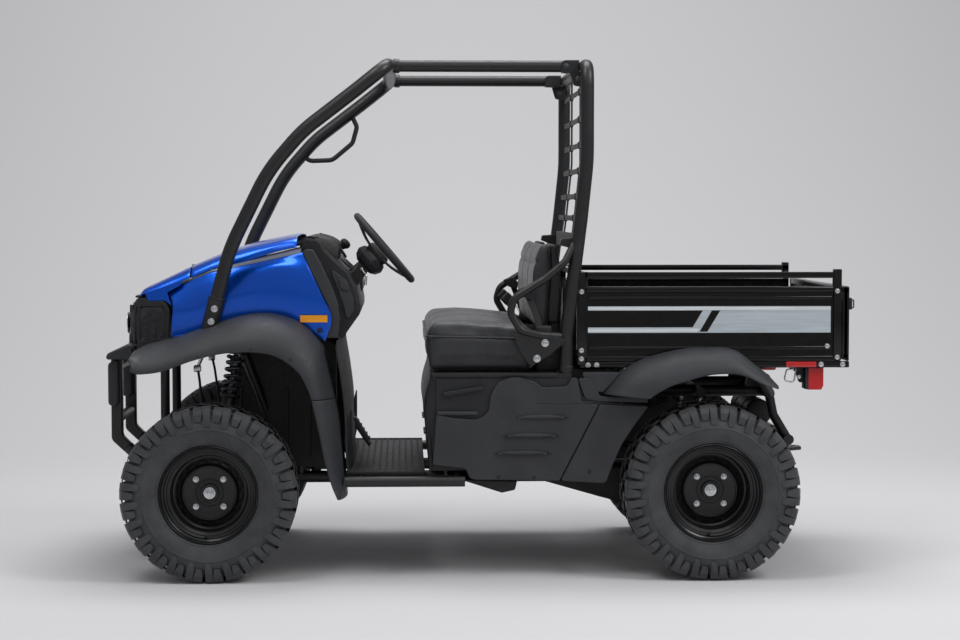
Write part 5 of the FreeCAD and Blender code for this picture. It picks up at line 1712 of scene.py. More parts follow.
    def sides(self) -> None:
        """Build the side panels, the stripes above them, and the amber patches."""
        sections = []
        for number, section in enumerate(self.side):
            leans = (0.03, 0.011 if number < 4 else 0.007, -0.003, 0.0, 0.008)
            sections.append([(x, -(self.plan(x) - lean), z) for (x, z), lean in zip(section, leans)])
        panel = shell("side_panel", sections, 44, 30, self.wall, LEFT, 0.0012)
        dressed(both("side_panels", [panel]), BODY_BLUE, Body.ROOT, ["front_panels"])
        stripe = [
            [(x, -self.lid_half - 0.001, high), (
                x, -(self.lid_half + self.plan(x) - 0.03) / 2, (high + low) / 2 + 0.003),
                (x, -(self.plan(x) - 0.0315), low + 0.0012)]
            for x, high, low in self.crease]
        band = shell("side_stripe", stripe, 40, 7, 0.003, (0, -0.5, 1))
        dressed(both("side_stripes", [band]), STRIPE_GREY, Body.ROOT)
        under = [
            [(x, -0.405, high - 0.01), (x, -(self.plan(x) - 0.04), low - 0.012)]
            for x, high, low in self.crease]
        ledge = shell("stripe_ledge", under, 30, 4, 0.003, UP)
        dressed(both("stripe_ledges", [ledge]), BLACK_PLASTIC)
        patch = [
            [(x, -(self.plan(x) + 0.0042), z) for z in (0.914, 0.9265, 0.939)]
            for x in (-0.634, -0.585, -0.537)]
        dressed(both("side_patches", [shell("side_patch", patch, 8, 4, 0.0012, LEFT)]), AMBER_FILM)
        fastened("side_plugs", [(-0.566, -0.5195, 0.884)], 0.006, BLACK_PLASTIC)

    def cowl(self) -> None:
        """Build the cowl round the lamps, with its grille."""
        rows = (
            (0.797, -1.214, -1.176), (0.824, -1.252, -1.128), (0.86, -1.2595, -1.11),
            (0.905, -1.261, -1.1045), (0.95, -1.256, -1.105), (0.98, -1.244, -1.119),
            (0.999, -1.226, -1.146), (1.01, -1.199, -1.176))
        sections = []
        for z, front, back in rows:
            corner = min(0.045, (back - front) * 0.6)
            half = [
                (back, -0.4295, z), ((back + front + corner) / 2, -0.4295, z), (front + corner, -0.426, z),
                (front + corner * 0.3, -0.405, z), (front + 0.002, -0.35, z), (front, -0.2, z),
                (front - 0.001, 0.0, z)]
            sections.append(half + [(x, -y, height) for x, y, height in reversed(half[:-1])])
        skin = shell("cowl_skin", sections, 26, 70, 0.006, (-1, 0, 0), 0.002)
        parts = [
            skin, block("cowl_roof", (-1.232, -0.405, 0.998), (-1.165, 0.405, 1.006), 0.003),
            block("cowl_back", (-1.136, -0.42, 0.822), (-1.118, 0.42, 0.985), 0.004)]
        for number in range(5):
            z = 0.829 + 0.034 * number
            bar = oblong(-0.19, 0.19, z - 0.0065, z + 0.0065, 0.004)
            parts.append(plate("grille_bar", bar, -1.2615, 0.012, 0.003, View.FRONT))
        ribs = [
            post("cowl_rib", (x, y, 0.832), (x + 0.004, y + 0.001, 0.972), 0.0055, 0.002, 12)
            for x, y in ((-1.2175, -0.4275), (-1.233, -0.419), (-1.2455, -0.404), (-1.253, -0.385))]
        opening = [
            (-1.213, 0.843, 0.01), (-1.213, 0.967, 0.01), (-1.129, 0.967, 0.01), (-1.119, 0.948, 0.01),
            (-1.124, 0.855, 0.012)]
        ribs.append(plate("cowl_frame", [
            (-1.2235, 0.815), (-1.167, 0.808, 0.02), (-1.1125, 0.84, 0.02), (-1.105, 0.956, 0.012),
            (-1.1265, 0.987, 0.01), (-1.18, 0.985), (-1.194, 0.999), (-1.2235, 0.996)],
            -0.431, 0.0075, 0.0025, View.SIDE, [opening]))
        parts.append(both("cowl_ribs", ribs))
        dressed(joined("front_cowl_skin", parts), BLACK_PLASTIC, Body.ROOT, ["front_cowl"])
        mesh_rows = [
            block(
                "grille_gap", (-1.2635, -0.186, 0.838 + 0.034 * i), (-1.26, 0.186, 0.8545 + 0.034 * i),
                0.001)
            for i in range(4)]
        dressed(joined("grille_gaps", mesh_rows), BLACK_PLASTIC)

    def brow(self) -> None:
        """Build the brow over the bumper and the chin below it."""
        brow = plate("bumper_brow", [
            (-1.3555, 0.776, 0.006), (-1.348, 0.79, 0.008), (-1.277, 0.819, 0.01), (-1.25, 0.819),
            (-1.247, 0.79), (-1.251, 0.7665), (-1.29, 0.7665, 0.02), (-1.35, 0.7665, 0.008)],
            0.0, 0.6, 0.006)
        chin = [
            [(-1.253, y, 0.815), (-1.248, y, 0.785), (-1.223, y, 0.752)]
            for y in (-0.425, -0.3, 0.0, 0.3, 0.425)]
        under = shell("cowl_chin", chin, 30, 8, 0.005, (-1, 0, -0.3), 0.0015)
        dressed(joined("brow_moulding", [brow, under]), DARK_PLASTIC, Body.ROOT)

    def lamps(self) -> None:
        """Build the smoked corner lenses and the round lamps behind them."""
        rows = ((0.846, -1.258), (0.862, -1.2605), (0.905, -1.2625), (0.948, -1.258), (0.964, -1.252))
        sections = []
        for number, (z, front) in enumerate(rows):
            ends = 0.006 if number in (0, len(rows) - 1) else 0.0
            sections.append([
                (-1.132 - ends, -0.4302, z), (-1.18, -0.4308, z), (front + 0.047, -0.4282, z),
                (front + 0.014, -0.4065, z), (front + 0.0008, -0.35, z),
                (front - 0.0012, -0.215 - ends, z)])
        lens = shell("smoked_lens", sections, 16, 30, 0.0022, (-1, -1, 0), 0.0006)
        dressed(both("smoked_lenses", [lens]), SMOKED_LENS, Body.ROOT, ["headlamps"])
        bezel = [
            block(
                "lens_ridge", (-1.188 + 0.03 * i, -0.4335, 0.852), (-1.183 + 0.03 * i, -0.43, 0.958),
                0.0015)
            for i in range(2)]
        dressed(both("lens_rims", bezel), BLACK_PLASTIC)
        bowls, glasses = [], []
        for y in (-0.355, -0.265):
            centre, out = (-1.262, y, 0.906), (-1, 0, 0)
            bowls.append(turned("lamp_bowl", [
                (0.0, -0.0015), (0.012, -0.001), (0.03, 0.0008), (0.0345, 0.0026), (0.0375, 0.003),
                (0.038, 0.0004)], centre, out, 36, closed=False))
            glasses.append(turned("lamp_glass", [
                (0.0, 0.0042), (0.02, 0.0036), (0.034, 0.0022), (0.034, 0.0012), (0.0, 0.0024)],
                centre, out, 36, closed=False))
        dressed(both("lamp_bowls", bowls), BRIGHT_ZINC, Body.ROOT)
        dressed(both("lamp_glasses", glasses), CLEAR_LENS, Body.ROOT)

    def flares(self) -> None:
        """Build the front flares, their lower flaps and the splash panels behind the wheels."""
        upper = swept_flare("front_flare", self.flare, 72, self.flare_inner, self.flare_outer, (0, -1, 1))
        lower = swept_flare(
            "front_flap", self.flap, 24, self.flare_inner + 0.004, self.flare_outer, (0.3, -1, 0))
        nose = plate("fender_nose", [
            (-0.425, 0.752, 0.01), (-0.425, 0.819), (-0.48, 0.813), (-0.56, 0.806, 0.05),
            (-0.622, 0.793, 0.03), (-0.652, 0.768, 0.02), (-0.64, 0.745, 0.02), (-0.56, 0.738, 0.05),
            (-0.47, 0.74)], -1.2175, 0.012, 0.004, View.FRONT)
        chin = plate("fender_chin", [
            (-1.221, 0.815), (-1.221, 0.745, 0.02), (-1.165, 0.742), (-1.104, 0.752), (-1.104, 0.858)],
            -0.458, 0.01, 0.003)
        screws = [(-0.985, -0.6512, 0.8), (-0.8, -0.6512, 0.8265), (-0.662, -0.6512, 0.79)]
        dressed(
            both("front_flare_pair", [upper, lower, nose, chin]), DARK_PLASTIC, Body.ROOT,
            ["front_flares"])
        fastened("flare_screw_pair", screws, 0.005, BLACK_PLASTIC)
        guard = plate("splash_guard", [
            (-0.905, 0.68, 0.02), (-0.905, 0.392, 0.02), (-0.5, 0.35), (-0.5, 0.8), (-0.64, 0.905, 0.03),
            (-0.8, 0.905, 0.03)], -0.2265, 0.004, 0.001)
        wing = plate("splash_wing", [
            (-0.24, 0.372), (-0.52, 0.392, 0.02), (-0.52, 0.8, 0.03), (-0.24, 0.8)],
            -0.505, 0.004, 0.001, View.FRONT)
        ribs = [
            block(
                "guard_rib", (-0.87 + 0.085 * i, -0.2325, 0.4), (-0.862 + 0.085 * i, -0.2265, 0.66), 0.002,
                1)
            for i in range(4)]
        dressed(both("splash_panels", [guard, wing, *ribs]), BLACK_PLASTIC)

    def hoses(self) -> None:
        """Build the brake hoses from the body to the knuckles."""
        for side, body in ((-1, Body.KNUCKLE_LEFT), (1, Body.KNUCKLE_RIGHT)):
            hose = tube(f"brake_hose_{body.value[-1]}", [
                (-1.02, side * 0.296, 0.735), (-1.012, side * 0.312, 0.69, 0.03),
                (-1.002, side * 0.338, 0.6, 0.05), (-0.994, side * 0.356, 0.5, 0.05),
                (-0.985, side * 0.376, 0.405, 0.04), (-0.982, side * 0.412, 0.362)], 0.0048, 12)
            hose.data.materials.append(GRIP_RUBBER.material())
            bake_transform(hose)
            LOG.info("%s bends between root and %s", hose.name, body.value)
        clip = block("hose_clip", (-1.034, -0.316, 0.722), (-1.008, -0.284, 0.746), 0.004)
        stay = tube("hose_stay", [
            (-1.02, -0.3, 0.738), (-0.99, -0.33, 0.8, 0.03), (-0.88, -0.345, 0.82)], 0.006, 10)
        dressed(both("hose_clips", [clip, stay]), BRIGHT_ZINC)

    def build(self) -> None:
        """Build the front body."""
        self.hood()
        self.sides()
        self.cowl()
        self.brow()
        self.lamps()
        self.flares()
        self.hoses()


# ---------------------------------------------------------------- cab


@dataclass
class Cab:
    """Floor, dash, steering wheel and controls."""

    wheel_centre: Numbers = (-0.336, -0.28, 1.175)
    column: Numbers = (0.7609, 0.0, 0.6489)
    ring_radius: float = 0.151
    grip_radius: float = 0.014
    tread_rows: tuple[int, int] = (11, 33)
    tread_pitch: tuple[float, float] = (0.0238, 0.0325)

    def on_column(self, out: float) -> Vector:
        """Return the point of the column's axis this far out of the steering wheel's middle."""
        return Vector(self.wheel_centre) + Vector(self.column) * out

    def about_column(self, name: str, profile: Sequence[Numbers], steps: int, closed: bool = True) -> Piece:
        """Spin a profile about the column's axis."""
        return turned(name, profile, self.wheel_centre, self.column, steps, closed)

    def floor(self) -> None:
        """Build the floor with its tread bars and the bulkhead before the feet."""
        pan = block("floor_plate", (-0.47, -0.56, 0.3705), (-0.1905, 0.56, 0.3795), 0.003)
        lip = block("floor_lip", (-0.472, -0.5605, 0.3702), (-0.19, -0.546, 0.3845), 0.003)
        bar = block("tread_bar", (-0.4525, -0.539, 0.3785), (-0.4455, -0.517, 0.3838), 0.0014, 1)
        places = []
        for column in range(self.tread_rows[0]):
            for row in range(self.tread_rows[1]):
                shift = 0.016 if column % 2 else 0.0
                step = (self.tread_pitch[0] * column, self.tread_pitch[1] * row + shift, 0)
                places.append(Matrix.Translation(step))
        bars = ring("tread_bars", bar, places)
        profile = [
            (-0.449, 0.38), (-0.4545, 0.43), (-0.456, 0.518), (-0.462, 0.627), (-0.476, 0.736),
            (-0.49, 0.826), (-0.486, 0.849)]
        sections = [
            [(x - 0.012 * (abs(y) > 0.5), y, z) for x, z in profile]
            for y in (-0.559, -0.535, -0.2, 0.2, 0.535, 0.559)]
        bulkhead = shell("bulkhead", sections, 40, 22, 0.006, (1, 0, 0), 0.001)
        ribs = [
            block("bulkhead_rib", (-0.4585, y - 0.006, 0.43), (-0.453, y + 0.006, 0.59), 0.002, 1)
            for y in (-0.48, -0.43, 0.05, 0.15, 0.25, 0.35, 0.45)]
        parts = [pan, both("floor_lips", [lip]), bars, bulkhead, *ribs]
        dressed(
            joined("floor_pan_moulding", parts), FLOOR_PLASTIC, Body.ROOT, ["floor_pan"])

    def dash(self) -> None:
        """Build the dash with its side ribs, gauge pod, shelf, pockets and cup rings."""
        outline = [
            (-0.634, 1.2, 0.01), (-0.619, 1.2155, 0.01), (-0.575, 1.211, 0.014), (-0.561, 1.198, 0.012),
            (-0.545, 1.17, 0.02), (-0.502, 1.127, 0.03), (-0.459, 1.087, 0.05), (-0.434, 1.033, 0.08),
            (-0.4215, 0.971, 0.04), (-0.4215, 0.942, 0.03), (-0.452, 0.899, 0.04), (-0.485, 0.8525, 0.02),
            (-0.56, 0.8525), (-0.634, 0.905)]
        core = plate("dash_core", outline, 0.0, 0.862, 0.01)
        seam = [
            (-0.5515, 0.856), (-0.5405, 0.886), (-0.5235, 0.929), (-0.5345, 0.967), (-0.5635, 1.026),
            (-0.5985, 1.101), (-0.6255, 1.165)]
        rib = plate("dash_rib", [
            *seam, (-0.612, 1.173), (-0.589, 1.172, 0.01), (-0.564, 1.128), (-0.518, 1.028, 0.04),
            (-0.5, 0.975, 0.03), (-0.493, 0.921, 0.03), (-0.5, 0.856)], -0.468, 0.078, 0.004)
        inner = plate("dash_side_panel", [
            (-0.536, 1.112, 0.02), (-0.468, 1.058, 0.03), (-0.445, 0.99, 0.03), (-0.443, 0.95, 0.02),
            (-0.47, 0.915, 0.02), (-0.485, 0.975, 0.03), (-0.503, 1.028, 0.03)], -0.4345, 0.01, 0.003)
        pocket = plate("dash_side_pocket", [
            (-0.502, 1.07, 0.006), (-0.468, 1.052, 0.006), (-0.46, 1.022, 0.006), (-0.492, 1.03, 0.006)],
            -0.441, 0.008, 0.002)
        sides = both("dash_sides", [rib, inner, pocket])
        hood = shell("dash_top_lip", [
            [(-0.64, y, 1.182), (-0.634, y, 1.206), (-0.612, y, 1.2195), (-0.582, y, 1.2165)]
            for y in (-0.424, -0.2, 0.2, 0.424)], 20, 10, 0.004, UP, 0.001)
        pod = shell("gauge_pod", [
            [
                (-0.58, -0.37, 1.198), (-0.575, -0.35, 1.222), (-0.572, -0.28, 1.231),
                (-0.575, -0.21, 1.222), (-0.58, -0.19, 1.198)],
            [
                (-0.535, -0.368, 1.16), (-0.528, -0.348, 1.205), (-0.524, -0.28, 1.217),
                (-0.528, -0.212, 1.205), (-0.535, -0.192, 1.16)],
            [
                (-0.505, -0.366, 1.132), (-0.497, -0.346, 1.185), (-0.493, -0.28, 1.198),
                (-0.497, -0.214, 1.185), (-0.505, -0.194, 1.132)]], 10, 20, 0.004, UP, 0.001)
        shelf = block("glove_lid", (-0.47, 0.09, 1.0), (-0.4225, 0.4, 1.055), 0.01, 3)
        dressed(sides, DARK_PLASTIC, Body.ROOT)
        parts = [core, hood, pod, shelf]
        for y in (-0.04, 0.08):
            parts.append(turned("cup_ring", [
                (0.036, 0.0), (0.046, 0.0), (0.047, 0.006), (0.044, 0.01), (0.036, 0.01)],
                (-0.472, y, 1.098), (0.66, 0, 0.75), 32))
        dressed(
            joined("dashboard_moulding", parts), BLACK_PLASTIC, Body.ROOT, ["dashboard"])

    def dash_fittings(self) -> None:
        """Build the gauge, the switches and the ignition key."""
        face = (-0.5035, -0.28, 1.172)
        dial = [
            turned("gauge_ring", [
                (0.036, 0.0), (0.042, 0.0), (0.043, 0.006), (0.04, 0.009), (0.036, 0.006)],
                face, (0.82, 0, 0.57), 36),
            post("switch_body", (-0.478, -0.395, 1.075), (-0.466, -0.395, 1.086), 0.014, 0.002, 24),
            post("switch_body", (-0.478, -0.18, 1.075), (-0.466, -0.18, 1.086), 0.016, 0.002, 24),
            block("light_switch", (-0.474, -0.37, 1.066), (-0.452, -0.34, 1.09), 0.003)]
        dressed(joined("dash_rings", dial), BLACK_PLASTIC)
        glass = turned(
            "gauge_glass", [(0.0, 0.004), (0.036, 0.003), (0.036, 0.0), (0.0, 0.0)], face, (0.82, 0, 0.57),
            36, closed=False)
        dressed(glass, SMOKED_LENS)
        key = [
            post("key_barrel", (-0.468, -0.18, 1.084), (-0.461, -0.18, 1.09), 0.008, 0.001, 20),
            block("key_blade", (-0.462, -0.1815, 1.083), (-0.436, -0.1785, 1.1), 0.001)]
        dressed(joined("ignition_key", key), BRIGHT_ZINC)

    def steering(self) -> None:
        """Build the steering wheel with its spokes, pad and shaft."""
        down = Vector((self.column[2], 0, -self.column[0]))
        side = Vector(ACROSS)
        profile = []
        for step in range(16):
            turn = 2 * math.pi * step / 16
            profile.append((
                self.ring_radius + self.grip_radius * math.cos(turn),
                self.grip_radius * 0.92 * math.sin(turn)))
        grip = self.about_column("steering_grip", profile, 72)
        parts = [grip]
        for degrees in (90, 210, 330):
            turn = math.radians(degrees)
            out = down * math.cos(turn) + side * math.sin(turn)
            wide = Vector(self.column).cross(out).normalized() * 0.017
            root, tip = self.on_column(-0.03) + out * 0.03, self.on_column(-0.003) + out * 0.147
            middle = self.on_column(-0.022) + out * 0.085
            parts.append(shell("spoke", [
                [root - wide * 1.5, root + wide * 1.5], [middle - wide * 0.9, middle + wide * 0.9],
                [tip - wide * 1.1, tip + wide * 1.1]], 12, 4, 0.008, self.column, 0.0025))
        parts.append(self.about_column("steering_pad", [
            (0.0, -0.012), (0.03, -0.013), (0.043, -0.019), (0.048, -0.032), (0.044, -0.044), (0.0, -0.046)],
            40, closed=False))
        parts.append(post("steering_shaft", self.on_column(-0.099), self.on_column(-0.04), 0.0118, 0.001, 20))
        wheel = joined("steering_wheel_rim", parts)
        dressed(wheel, GRIP_RUBBER, Body.STEERING, ["steering_wheel"])

    def steering_column(self) -> None:
        """Build the column's cover, jacket, boot, tilt bracket and clamp."""
        cover = self.about_column("hub_cover", [
            (0.0, -0.04), (0.04, -0.04), (0.056, -0.05), (0.063, -0.07), (0.054, -0.09), (0.034, -0.104),
            (0.0, -0.105)], 8, closed=False)
        dressed(softened(cover, 0.004), BLACK_PLASTIC, Body.STEERING)
        jacket = post("column_jacket", self.on_column(-0.1005), self.on_column(-0.23), 0.024, 0.003, 32)
        boot = self.about_column("column_boot", [
            (0.024, -0.17), (0.034, -0.176), (0.029, -0.184), (0.038, -0.19), (0.032, -0.198),
            (0.042, -0.206), (0.038, -0.23), (0.024, -0.23)], 32)
        stay = plate("tilt_bracket", [
            (-0.47, 1.052, 0.01), (-0.44, 1.03, 0.01), (-0.395, 1.09, 0.012), (-0.402, 1.118, 0.012),
            (-0.43, 1.118, 0.01)], -0.2505, 0.005, 0.001)
        twin = copied(stay, "tilt_bracket_twin", Matrix.Translation((0, -0.059, 0)))
        dressed(
            joined("column_parts", [jacket, boot, stay, twin]), SATIN_BLACK, Body.ROOT,
            ["steering_column"])
        lever = [
            tube("tilt_lever", [
                (-0.418, -0.318, 1.098), (-0.402, -0.33, 1.075, 0.01), (-0.405, -0.338, 1.04)], 0.005, 12),
            post("tilt_pin", (-0.418, -0.322, 1.098), (-0.418, -0.238, 1.098), 0.006, 0.001, 20)]
        dressed(joined("tilt_clamp", lever), BRIGHT_ZINC)

    def controls(self) -> None:
        """Build the pedals with their rubber pads, and the shift lever."""
        pads = []
        for x, z, y, half in ((-0.42, 0.511, -0.33, 0.035), (-0.418, 0.479, -0.21, 0.025)):
            slope = Vector((0.72, 0, 0.69))
            face = plate("pedal_arm", [
                (x - 0.03, z + 0.048), (x - 0.026, z + 0.028), (x + 0.022, z - 0.043, 0.004),
                (x + 0.03, z - 0.036, 0.004), (x - 0.018, z + 0.044)], y, half * 2, 0.002)
            pads.append(face)
            for step in range(5):
                middle = Vector((x - 0.012 + 0.01 * step, 0, z + 0.033 - 0.0158 * step))
                low = middle + slope * 0.0005
                pads.append(post(
                    "pedal_bar", (low.x, y - half + 0.004, low.z), (low.x, y + half - 0.004, low.z), 0.0034,
                    0.001, 10))
        dressed(joined("pedals", pads), GRIP_RUBBER, Body.ROOT, ["controls"])
        base = Vector((-0.5235, -0.1, 1.1485))
        lean = Vector((0.70703, 0, 0.70718))
        boot = turned("shift_boot", [
            (0.0, 0.001), (0.026, 0.001), (0.022, 0.006), (0.024, 0.01), (0.017, 0.014), (0.019, 0.018),
            (0.01, 0.022), (0.0, 0.022)], base, lean, 32, closed=False)
        knob = turned("shift_knob", [
            (0.0, 0.034), (0.01, 0.034), (0.013, 0.04), (0.0195, 0.048), (0.0215, 0.057), (0.018, 0.066),
            (0.009, 0.0705), (0.0, 0.0715)], base, lean, 32, closed=False)
        dressed(joined("shift_knob_boot", [boot, knob]), GRIP_RUBBER, Body.ROOT)
        dressed(post("shift_stick", base + lean * 0.002, base + lean * 0.04, 0.0065, 0.001, 16), BRIGHT_ZINC)

    def build(self) -> None:
        """Build the cab."""
        self.floor()
        self.dash()
        self.dash_fittings()
        self.steering()
        self.steering_column()
        self.controls()


# ---------------------------------------------------------------- seat


@dataclass
class Bench:
    """Bench seat on its base, with belts and the covers under it."""

    base_top: float = 0.735
    cushion_half: float = 0.54
    cushion_front: float = -0.191
    cushion_rear: float = 0.2035
    back_half: float = 0.5

    @staticmethod
    def stuffed(piece: Piece, name: str, voxel: float, reach: float) -> Piece:
        """Swell a closed shape like stuffing under vinyl, with a cap on how far it swells.

        Args:
            piece: The shape, a little smaller than the finished pad.
            name: The finished pad's name.
            voxel: The size of the even mesh that the cloth gets.
            reach: The farthest that any point may move.

        Returns:
            The pad.
        """
        modified(piece, "REMESH", mode="VOXEL", voxel_size=voxel)
        rest = [vertex.co.copy() for vertex in piece.data.vertices]
        scene = bpy.context.scene
        select_only(piece)
        cloth = piece.modifiers.new("cloth", "CLOTH")
        cloth.settings.quality = 5
        cloth.settings.use_pressure = True
        cloth.settings.uniform_pressure_force = 3.0
        cloth.settings.tension_stiffness = 40.0
        cloth.settings.bending_stiffness = 8.0
        cloth.settings.effector_weights.gravity = 0.0
        cloth.point_cache.frame_start, cloth.point_cache.frame_end = 1, CLOTH_FRAMES
        for number in range(1, CLOTH_FRAMES + 1):
            scene.frame_set(number)
        bpy.ops.object.modifier_apply(modifier="cloth")
        scene.frame_set(1)
        for vertex, start in zip(piece.data.vertices, rest):
            move = vertex.co - start
            if move.length > reach:
                vertex.co = start + move.normalized() * reach
        modified(piece, "SMOOTH", factor=0.5, iterations=8)
        piece.name = piece.data.name = name
        return piece

    @staticmethod
    def channel(
            piece: Piece, place: Callable[[Vector], float], depth: float, width: float,
            inward: Callable[[Vector], Vector]) -> None:
        """Press a sewn channel into a pad.

        Args:
            piece: The pad.
            place: How far a point is from the channel's line.
            depth: The channel's depth.
            width: Half the channel's width.
            inward: The way that the channel sinks from a point.
        """
        for vertex in piece.data.vertices:
            off = place(vertex.co) / width
            if abs(off) < 3:
                vertex.co += inward(vertex.co) * depth * math.exp(-off * off)

    def cushion(self) -> None:
        """Build the seat cushion with its side panels, channels and piping."""
        outline = [
            (-0.178, 0.742, 0.02), (-0.186, 0.88, 0.035), (-0.165, 0.909, 0.03), (-0.06, 0.913),
            (0.06, 0.905), (0.198, 0.89, 0.02), (0.198, 0.742, 0.02)]
        half = self.cushion_half
        pad = plate("cushion_blank", outline, 0.0, 1.07, 0.014)
        pad = self.stuffed(pad, "seat_cushion_pad", 0.0075, 0.006)
        for y in (-0.18, 0.18):
            self.channel(
                pad, lambda p, y=y: p.y - y if p.z > 0.84 else 1.0, 0.007, 0.007,
                lambda p: Vector((0, 0, -1)))
        self.channel(
            pad, lambda p: p.z - 0.858 if p.x < 0.15 else 1.0, 0.0035, 0.005,
            lambda p: Vector((0.6 if p.x < -0.13 else 0.0, -math.copysign(abs(p.y) > 0.49, p.y), 0)))
        for vertex in pad.data.vertices:
            if vertex.co.z > 0.87:
                vertex.co.z += 0.009 * (1 - (vertex.co.y / half) ** 4) * (1 - abs(vertex.co.x) / 0.25)
            vertex.co.z = max(vertex.co.z, self.base_top + 0.0008)
            vertex.co.x = min(max(vertex.co.x, self.cushion_front), self.cushion_rear)
            vertex.co.y = max(min(vertex.co.y, half + 0.001), -half - 0.001)
        modified(pad, "SUBSURF", levels=1, render_levels=1)
        dressed(smooth(pad, 60), SEAT_VINYL, Body.ROOT, ["seat_cushion"])
        edge = tube("seat_piping", [
            (0.19, -0.5365, 0.856), (-0.1, -0.537, 0.862), (-0.1865, -0.537, 0.864, 0.02),
            (-0.1875, -0.3, 0.865), (-0.1875, 0.3, 0.865), (-0.1865, 0.537, 0.864, 0.02),
            (-0.1, 0.537, 0.862), (0.19, 0.5365, 0.856)], 0.0034, 10)
        dressed(edge, SEAT_VINYL, Body.ROOT)

    def backrest(self) -> None:
        """Build the backrest with its channels and its back shell."""
        outline = [
            (0.212, 0.882, 0.02), (0.202, 0.985, 0.1), (0.203, 1.08, 0.1), (0.214, 1.15, 0.08),
            (0.232, 1.195, 0.02), (0.256, 1.195, 0.02), (0.264, 1.1, 0.1), (0.256, 0.98, 0.1),
            (0.254, 0.882, 0.02)]
        pad = plate("backrest_blank", outline, 0.0, 0.988, 0.012)
        pad = self.stuffed(pad, "seat_backrest_pad", 0.0075, 0.006)
        for y in (-0.165, 0.165):
            self.channel(
                pad, lambda p, y=y: p.y - y if p.x < 0.235 else 1.0, 0.007, 0.007,
                lambda p: Vector((1, 0, 0)))
        self.channel(
            pad, lambda p: p.z - 1.125 if p.x < 0.235 else 1.0, 0.005, 0.006, lambda p: Vector((1, 0, 0)))
        for vertex in pad.data.vertices:
            vertex.co.x = max(vertex.co.x, 0.194)
            vertex.co.y = max(min(vertex.co.y, self.back_half), -self.back_half)
        modified(pad, "SUBSURF", levels=1, render_levels=1)
        dressed(smooth(pad, 60), SEAT_VINYL, Body.ROOT, ["seat_backrest"])
        back = plate("backrest_back", [
            (0.252, 0.905, 0.02), (0.256, 0.985, 0.1), (0.266, 1.1, 0.1), (0.262, 1.19, 0.02),
            (0.286, 1.19, 0.02), (0.296, 1.12, 0.05), (0.302, 1.0, 0.05), (0.292, 0.905, 0.02)],
            -0.33, 0.3, 0.01)
        dressed(both("backrest_backs", [softened(back, 0.004)]), BLACK_PLASTIC, Body.ROOT)

    def base(self) -> None:
        """Build the seat's base: a bulged front panel, side walls, a top plate and a step at the back."""
        profile = [
            (-0.17, 0.733), (-0.172, 0.712), (-0.188, 0.655), (-0.1945, 0.599), (-0.188, 0.544),
            (-0.181, 0.47), (-0.176, 0.386)]
        sections = [
            [(x + 0.01 * (abs(y) > 0.56), y, z) for x, z in profile]
            for y in (-0.5775, -0.558, -0.2, 0.2, 0.558, 0.5775)]
        wall = plate(
            "seat_base_wall",
            [(x + 0.003, z) for x, z in reversed(profile)] + [(0.33, 0.733), (0.345, 0.6), (0.3, 0.396)],
            -0.5705, 0.006, 0.001)
        parts = [
            shell("seat_base_front", sections, 44, 26, 0.006, (-1, 0, 0), 0.0015),
            block("seat_base_top", (-0.165, -0.5775, 0.7195), (0.28, 0.5775, 0.7345), 0.004),
            *(
                block("front_rib", (-0.1935, y - 0.1, 0.5), (-0.181, y + 0.1, 0.506), 0.002, 1)
                for y in (-0.3, 0.3)),
            both("seat_base_walls", [wall]),
            block("seat_base_step", (0.2065, -0.5, 0.733), (0.3, 0.5, 0.852), 0.01, 3),
            block("seat_base_riser", (0.26, -0.47, 0.84), (0.292, 0.47, 0.925), 0.006)]
        dressed(
            joined("seat_base_moulding", parts), BLACK_PLASTIC, Body.ROOT, ["seat_base"])

    def belly(self) -> None:
        """Build the skid pan under the engine with its side plates, and the shrouds under the bed."""
        shroud = plate(
            "bed_shroud", [(0.34, 0.6), (0.6, 0.63), (0.6, 0.7415), (0.3, 0.7415)], -0.498, 0.004, 0.001)
        pan = shell("belly_pan", [
            [(0.17, y, 0.352), (0.34, y, 0.312), (0.5, y, 0.24), (0.6, y, 0.205)]
            for y in (-0.2, -0.07, 0.07, 0.2)], 18, 12, 0.004, (0, 0, -1), 0.001)
        keel = plate("belly_side", [
            (0.17, 0.354), (0.262, 0.3), (0.464, 0.242), (0.6, 0.206), (0.612, 0.3), (0.56, 0.35)],
            -0.198, 0.004, 0.001)
        dressed(joined(
            "belly_shell", [pan, both("belly_sides", [keel]), both("bed_shrouds", [shroud])]),
            BLACK_PLASTIC)

    @staticmethod
    def lens_outline(start: float, end: float, height: float, z: float) -> list[Numbers]:
        """Return a long pointed outline, flatter below than above.

        Args:
            start: Where its front point is, along the vehicle.
            end: Where its rear point is.
            height: Its height.
            z: The height of both points above the floor.

        Returns:
            The outline.
        """
        points = []
        for step in range(13):
            t = step / 12
            points.append((start + (end - start) * t, z + height * 0.62 * math.sin(math.pi * t) ** 0.8))
        for step in range(1, 12):
            t = 1 - step / 12
            points.append((start + (end - start) * t, z - height * 0.38 * math.sin(math.pi * t) ** 0.8))
        return points

